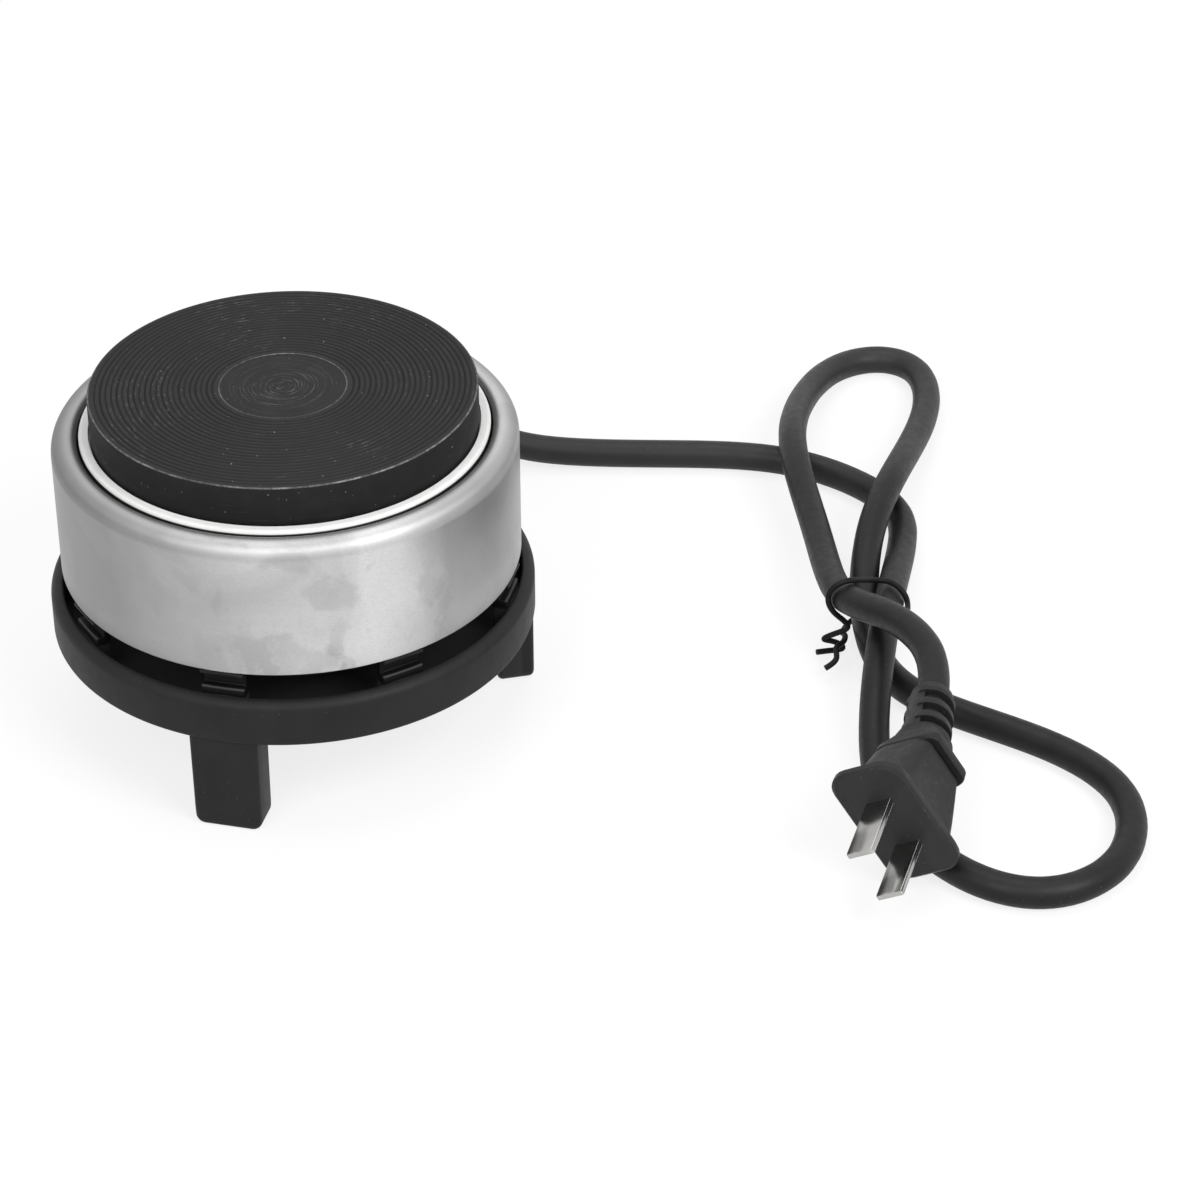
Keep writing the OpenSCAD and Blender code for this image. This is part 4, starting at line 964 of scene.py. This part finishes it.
# painted highlight on the blades' narrow sides, in a paler matt nickel
nickelPaintedHighlight = makeMatt("nickel_painted_highlight", (0.48, 0.475, 0.465), (0.6, 0.595, 0.58), (0.3, 0.42), 300, 1500)
zincPlate = makeMetal("zinc_plate", (0.5, 0.5, 0.49), (0.68, 0.68, 0.67), (0.3, 0.45), 240)
brassStrip = makeMetal("brass_strip", (0.6, 0.43, 0.2), (0.8, 0.62, 0.32), (0.24, 0.36), 240)
bimetalStrip = makeMetal("bimetal_strip_metal", (0.55, 0.46, 0.34), (0.7, 0.61, 0.47), (0.28, 0.42), 220)
coilWire = makeMetal("oxidised_wire", (0.25, 0.21, 0.19), (0.45, 0.4, 0.37), (0.4, 0.6), 320)
micaLayers = makeMatt("mica_layers", (0.5, 0.42, 0.27), (0.7, 0.62, 0.44), (0.25, 0.45), 120, 700)
coreSheath = makeMatt("core_sheath", (0.17, 0.075, 0.045), (0.27, 0.13, 0.085), (0.4, 0.55), 300, 1600)
tieCoat = makeMatt("tie_coat", (0.004, 0.004, 0.004), (0.009, 0.009, 0.009), (0.5, 0.62), 420, 1800, 0.14)
leadSleeve = makeSleeve()

nodeFinish = {
    "mica_sheet": micaLayers, "ceramic_core": whiteCeramic, "heating_coil": coilWire, "center_stud": zincPlate,
    "clamp_bridge": zincPlate, "bridge_washer": zincPlate, "bridge_nut": zincPlate, "base_washer": zincPlate,
    "base_nut": zincPlate, "thermostat_screw": zincPlate, "stack_washers": whiteCeramic,
    "bimetal_mount": zincPlate, "bimetal_strip": bimetalStrip, "push_bead": whiteCeramic,
    "fixed_contact": brassStrip, "leaf_strap": brassStrip, "contact_leaf": brassStrip,
    "terminal_block": whiteCeramic, "terminal_screws": brassStrip, "block_screw": zincPlate,
    "cord_cores": coreSheath, "live_lead": leadSleeve, "switched_lead": leadSleeve, "neutral_lead": leadSleeve,
    "cord_clamp": blackMoulding, "clamp_screws": zincPlate,
    "heating_plate": castIron, "steel_shell": satinSteel, "base": blackMoulding, "strain_relief": blackRubber,
    "power_cord": blackRubber, "plug_body": plugRubber, "plug_blades": nickelPlate, "wire_tie": tieCoat,
}
pieceFinish = (
    (mainsCord, blackRubber), (tieWire, tieCoat), (groovedPlate, castIron), (drawnShell, satinSteel),
    (footedBase, blackMoulding), (cordBoot, blackRubber), (mouldedPlug, plugRubber),
    (plugBlades, (nickelPlate, nickelPaintedHighlight)),
)


def dress():
    for name, finish in nodeFinish.items():
        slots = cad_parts[name].data.materials
        slots.clear()
        slots.append(finish)
    for piece, finish in pieceFinish:
        piece.data.materials.clear()
        for coat in finish if isinstance(finish, tuple) else (finish,):
            piece.data.materials.append(coat)
    # painted highlight: a paler matt copy of the nickel on the blades' narrow sides, but not in their seams
    upright = Euler([math.radians(v) for v in plugPose["turn"]]).to_matrix().inverted()
    for face in plugBlades.data.polygons:
        own = upright @ (face.center - Vector(plugPose["place"]) * mm)
        face.material_index = int(abs(own.z) > (bladeSettings["width"] / 2 - bladeSettings["paintedHighlightEdge"]) * mm)


dress()
print("finishes on", len(nodeFinish), "nodes and", len(pieceFinish), "pieces")

# Pale floor, white surroundings and soft lamps
studio = {
    "floorSize": 6, "floorDrop": 0.00002, "floorTone": 0.88, "glow": 0.8, "ambient": 0.45,
    # place, energy, size
    "lamps": [((0.75, -0.75, 1.0), 13, 0.7), ((-0.5, -1.0, 1.0), 8, 0.7), ((0.0, 0.3, 1.6), 9, 1.1)],
    "aim": (0.05, 0.02, 0.04),
}


def seenDirectly(tree):
    path = tree.nodes.new("ShaderNodeLightPath")
    total = None
    for name in ("Is Camera Ray", "Is Glossy Ray", "Is Transmission Ray"):
        if total is None:
            total = path.outputs[name]
            continue
        node = tree.nodes.new("ShaderNodeMath")
        node.operation = "MAXIMUM"
        tree.links.new(total, node.inputs[0])
        tree.links.new(path.outputs[name], node.inputs[1])
        total = node.outputs["Value"]
    return total


def addFloor():
    clearSelection()
    bpy.ops.mesh.primitive_plane_add(size=studio["floorSize"], location=(0, 0, -studio["floorDrop"]))
    floor = bpy.context.object
    floor.name = "floor"
    finish = bpy.data.materials.new("pale_floor")
    finish.use_nodes = True
    tree = finish.node_tree
    tree.nodes.clear()
    paint = tree.nodes.new("ShaderNodeBsdfDiffuse")
    tone = studio["floorTone"]
    paint.inputs["Color"].default_value = (tone, tone, tone, 1)
    glow = tree.nodes.new("ShaderNodeEmission")
    glow.inputs["Color"].default_value = (1, 1, 1, 1)
    share = tree.nodes.new("ShaderNodeMath")
    share.operation = "MULTIPLY"
    share.inputs[1].default_value = studio["glow"]
    tree.links.new(seenDirectly(tree), share.inputs[0])
    mix = tree.nodes.new("ShaderNodeMixShader")
    tree.links.new(share.outputs["Value"], mix.inputs["Fac"])
    tree.links.new(paint.outputs["BSDF"], mix.inputs[1])
    tree.links.new(glow.outputs["Emission"], mix.inputs[2])
    out = tree.nodes.new("ShaderNodeOutputMaterial")
    tree.links.new(mix.outputs["Shader"], out.inputs["Surface"])
    floor.data.materials.append(finish)


def addLamps():
    for place, energy, size in studio["lamps"]:
        clearSelection()
        bpy.ops.object.light_add(type="AREA", location=place)
        lamp = bpy.context.object
        lamp.data.energy = energy
        lamp.data.size = size
        toward = Vector(studio["aim"]) - Vector(place)
        lamp.rotation_euler = toward.to_track_quat("-Z", "Y").to_euler()


def setWorld():
    world = bpy.data.worlds.new("studio")
    scene.world = world
    world.use_nodes = True
    tree = world.node_tree
    back = tree.nodes["Background"]
    mix = tree.nodes.new("ShaderNodeMapRange")
    tree.links.new(seenDirectly(tree), mix.inputs["Value"])
    mix.inputs["To Min"].default_value = studio["ambient"]
    mix.inputs["To Max"].default_value = 1.0
    tree.links.new(mix.outputs["Result"], back.inputs["Strength"])
    back.inputs["Color"].default_value = (1, 1, 1, 1)


addFloor()
addLamps()
setWorld()
print("studio set")
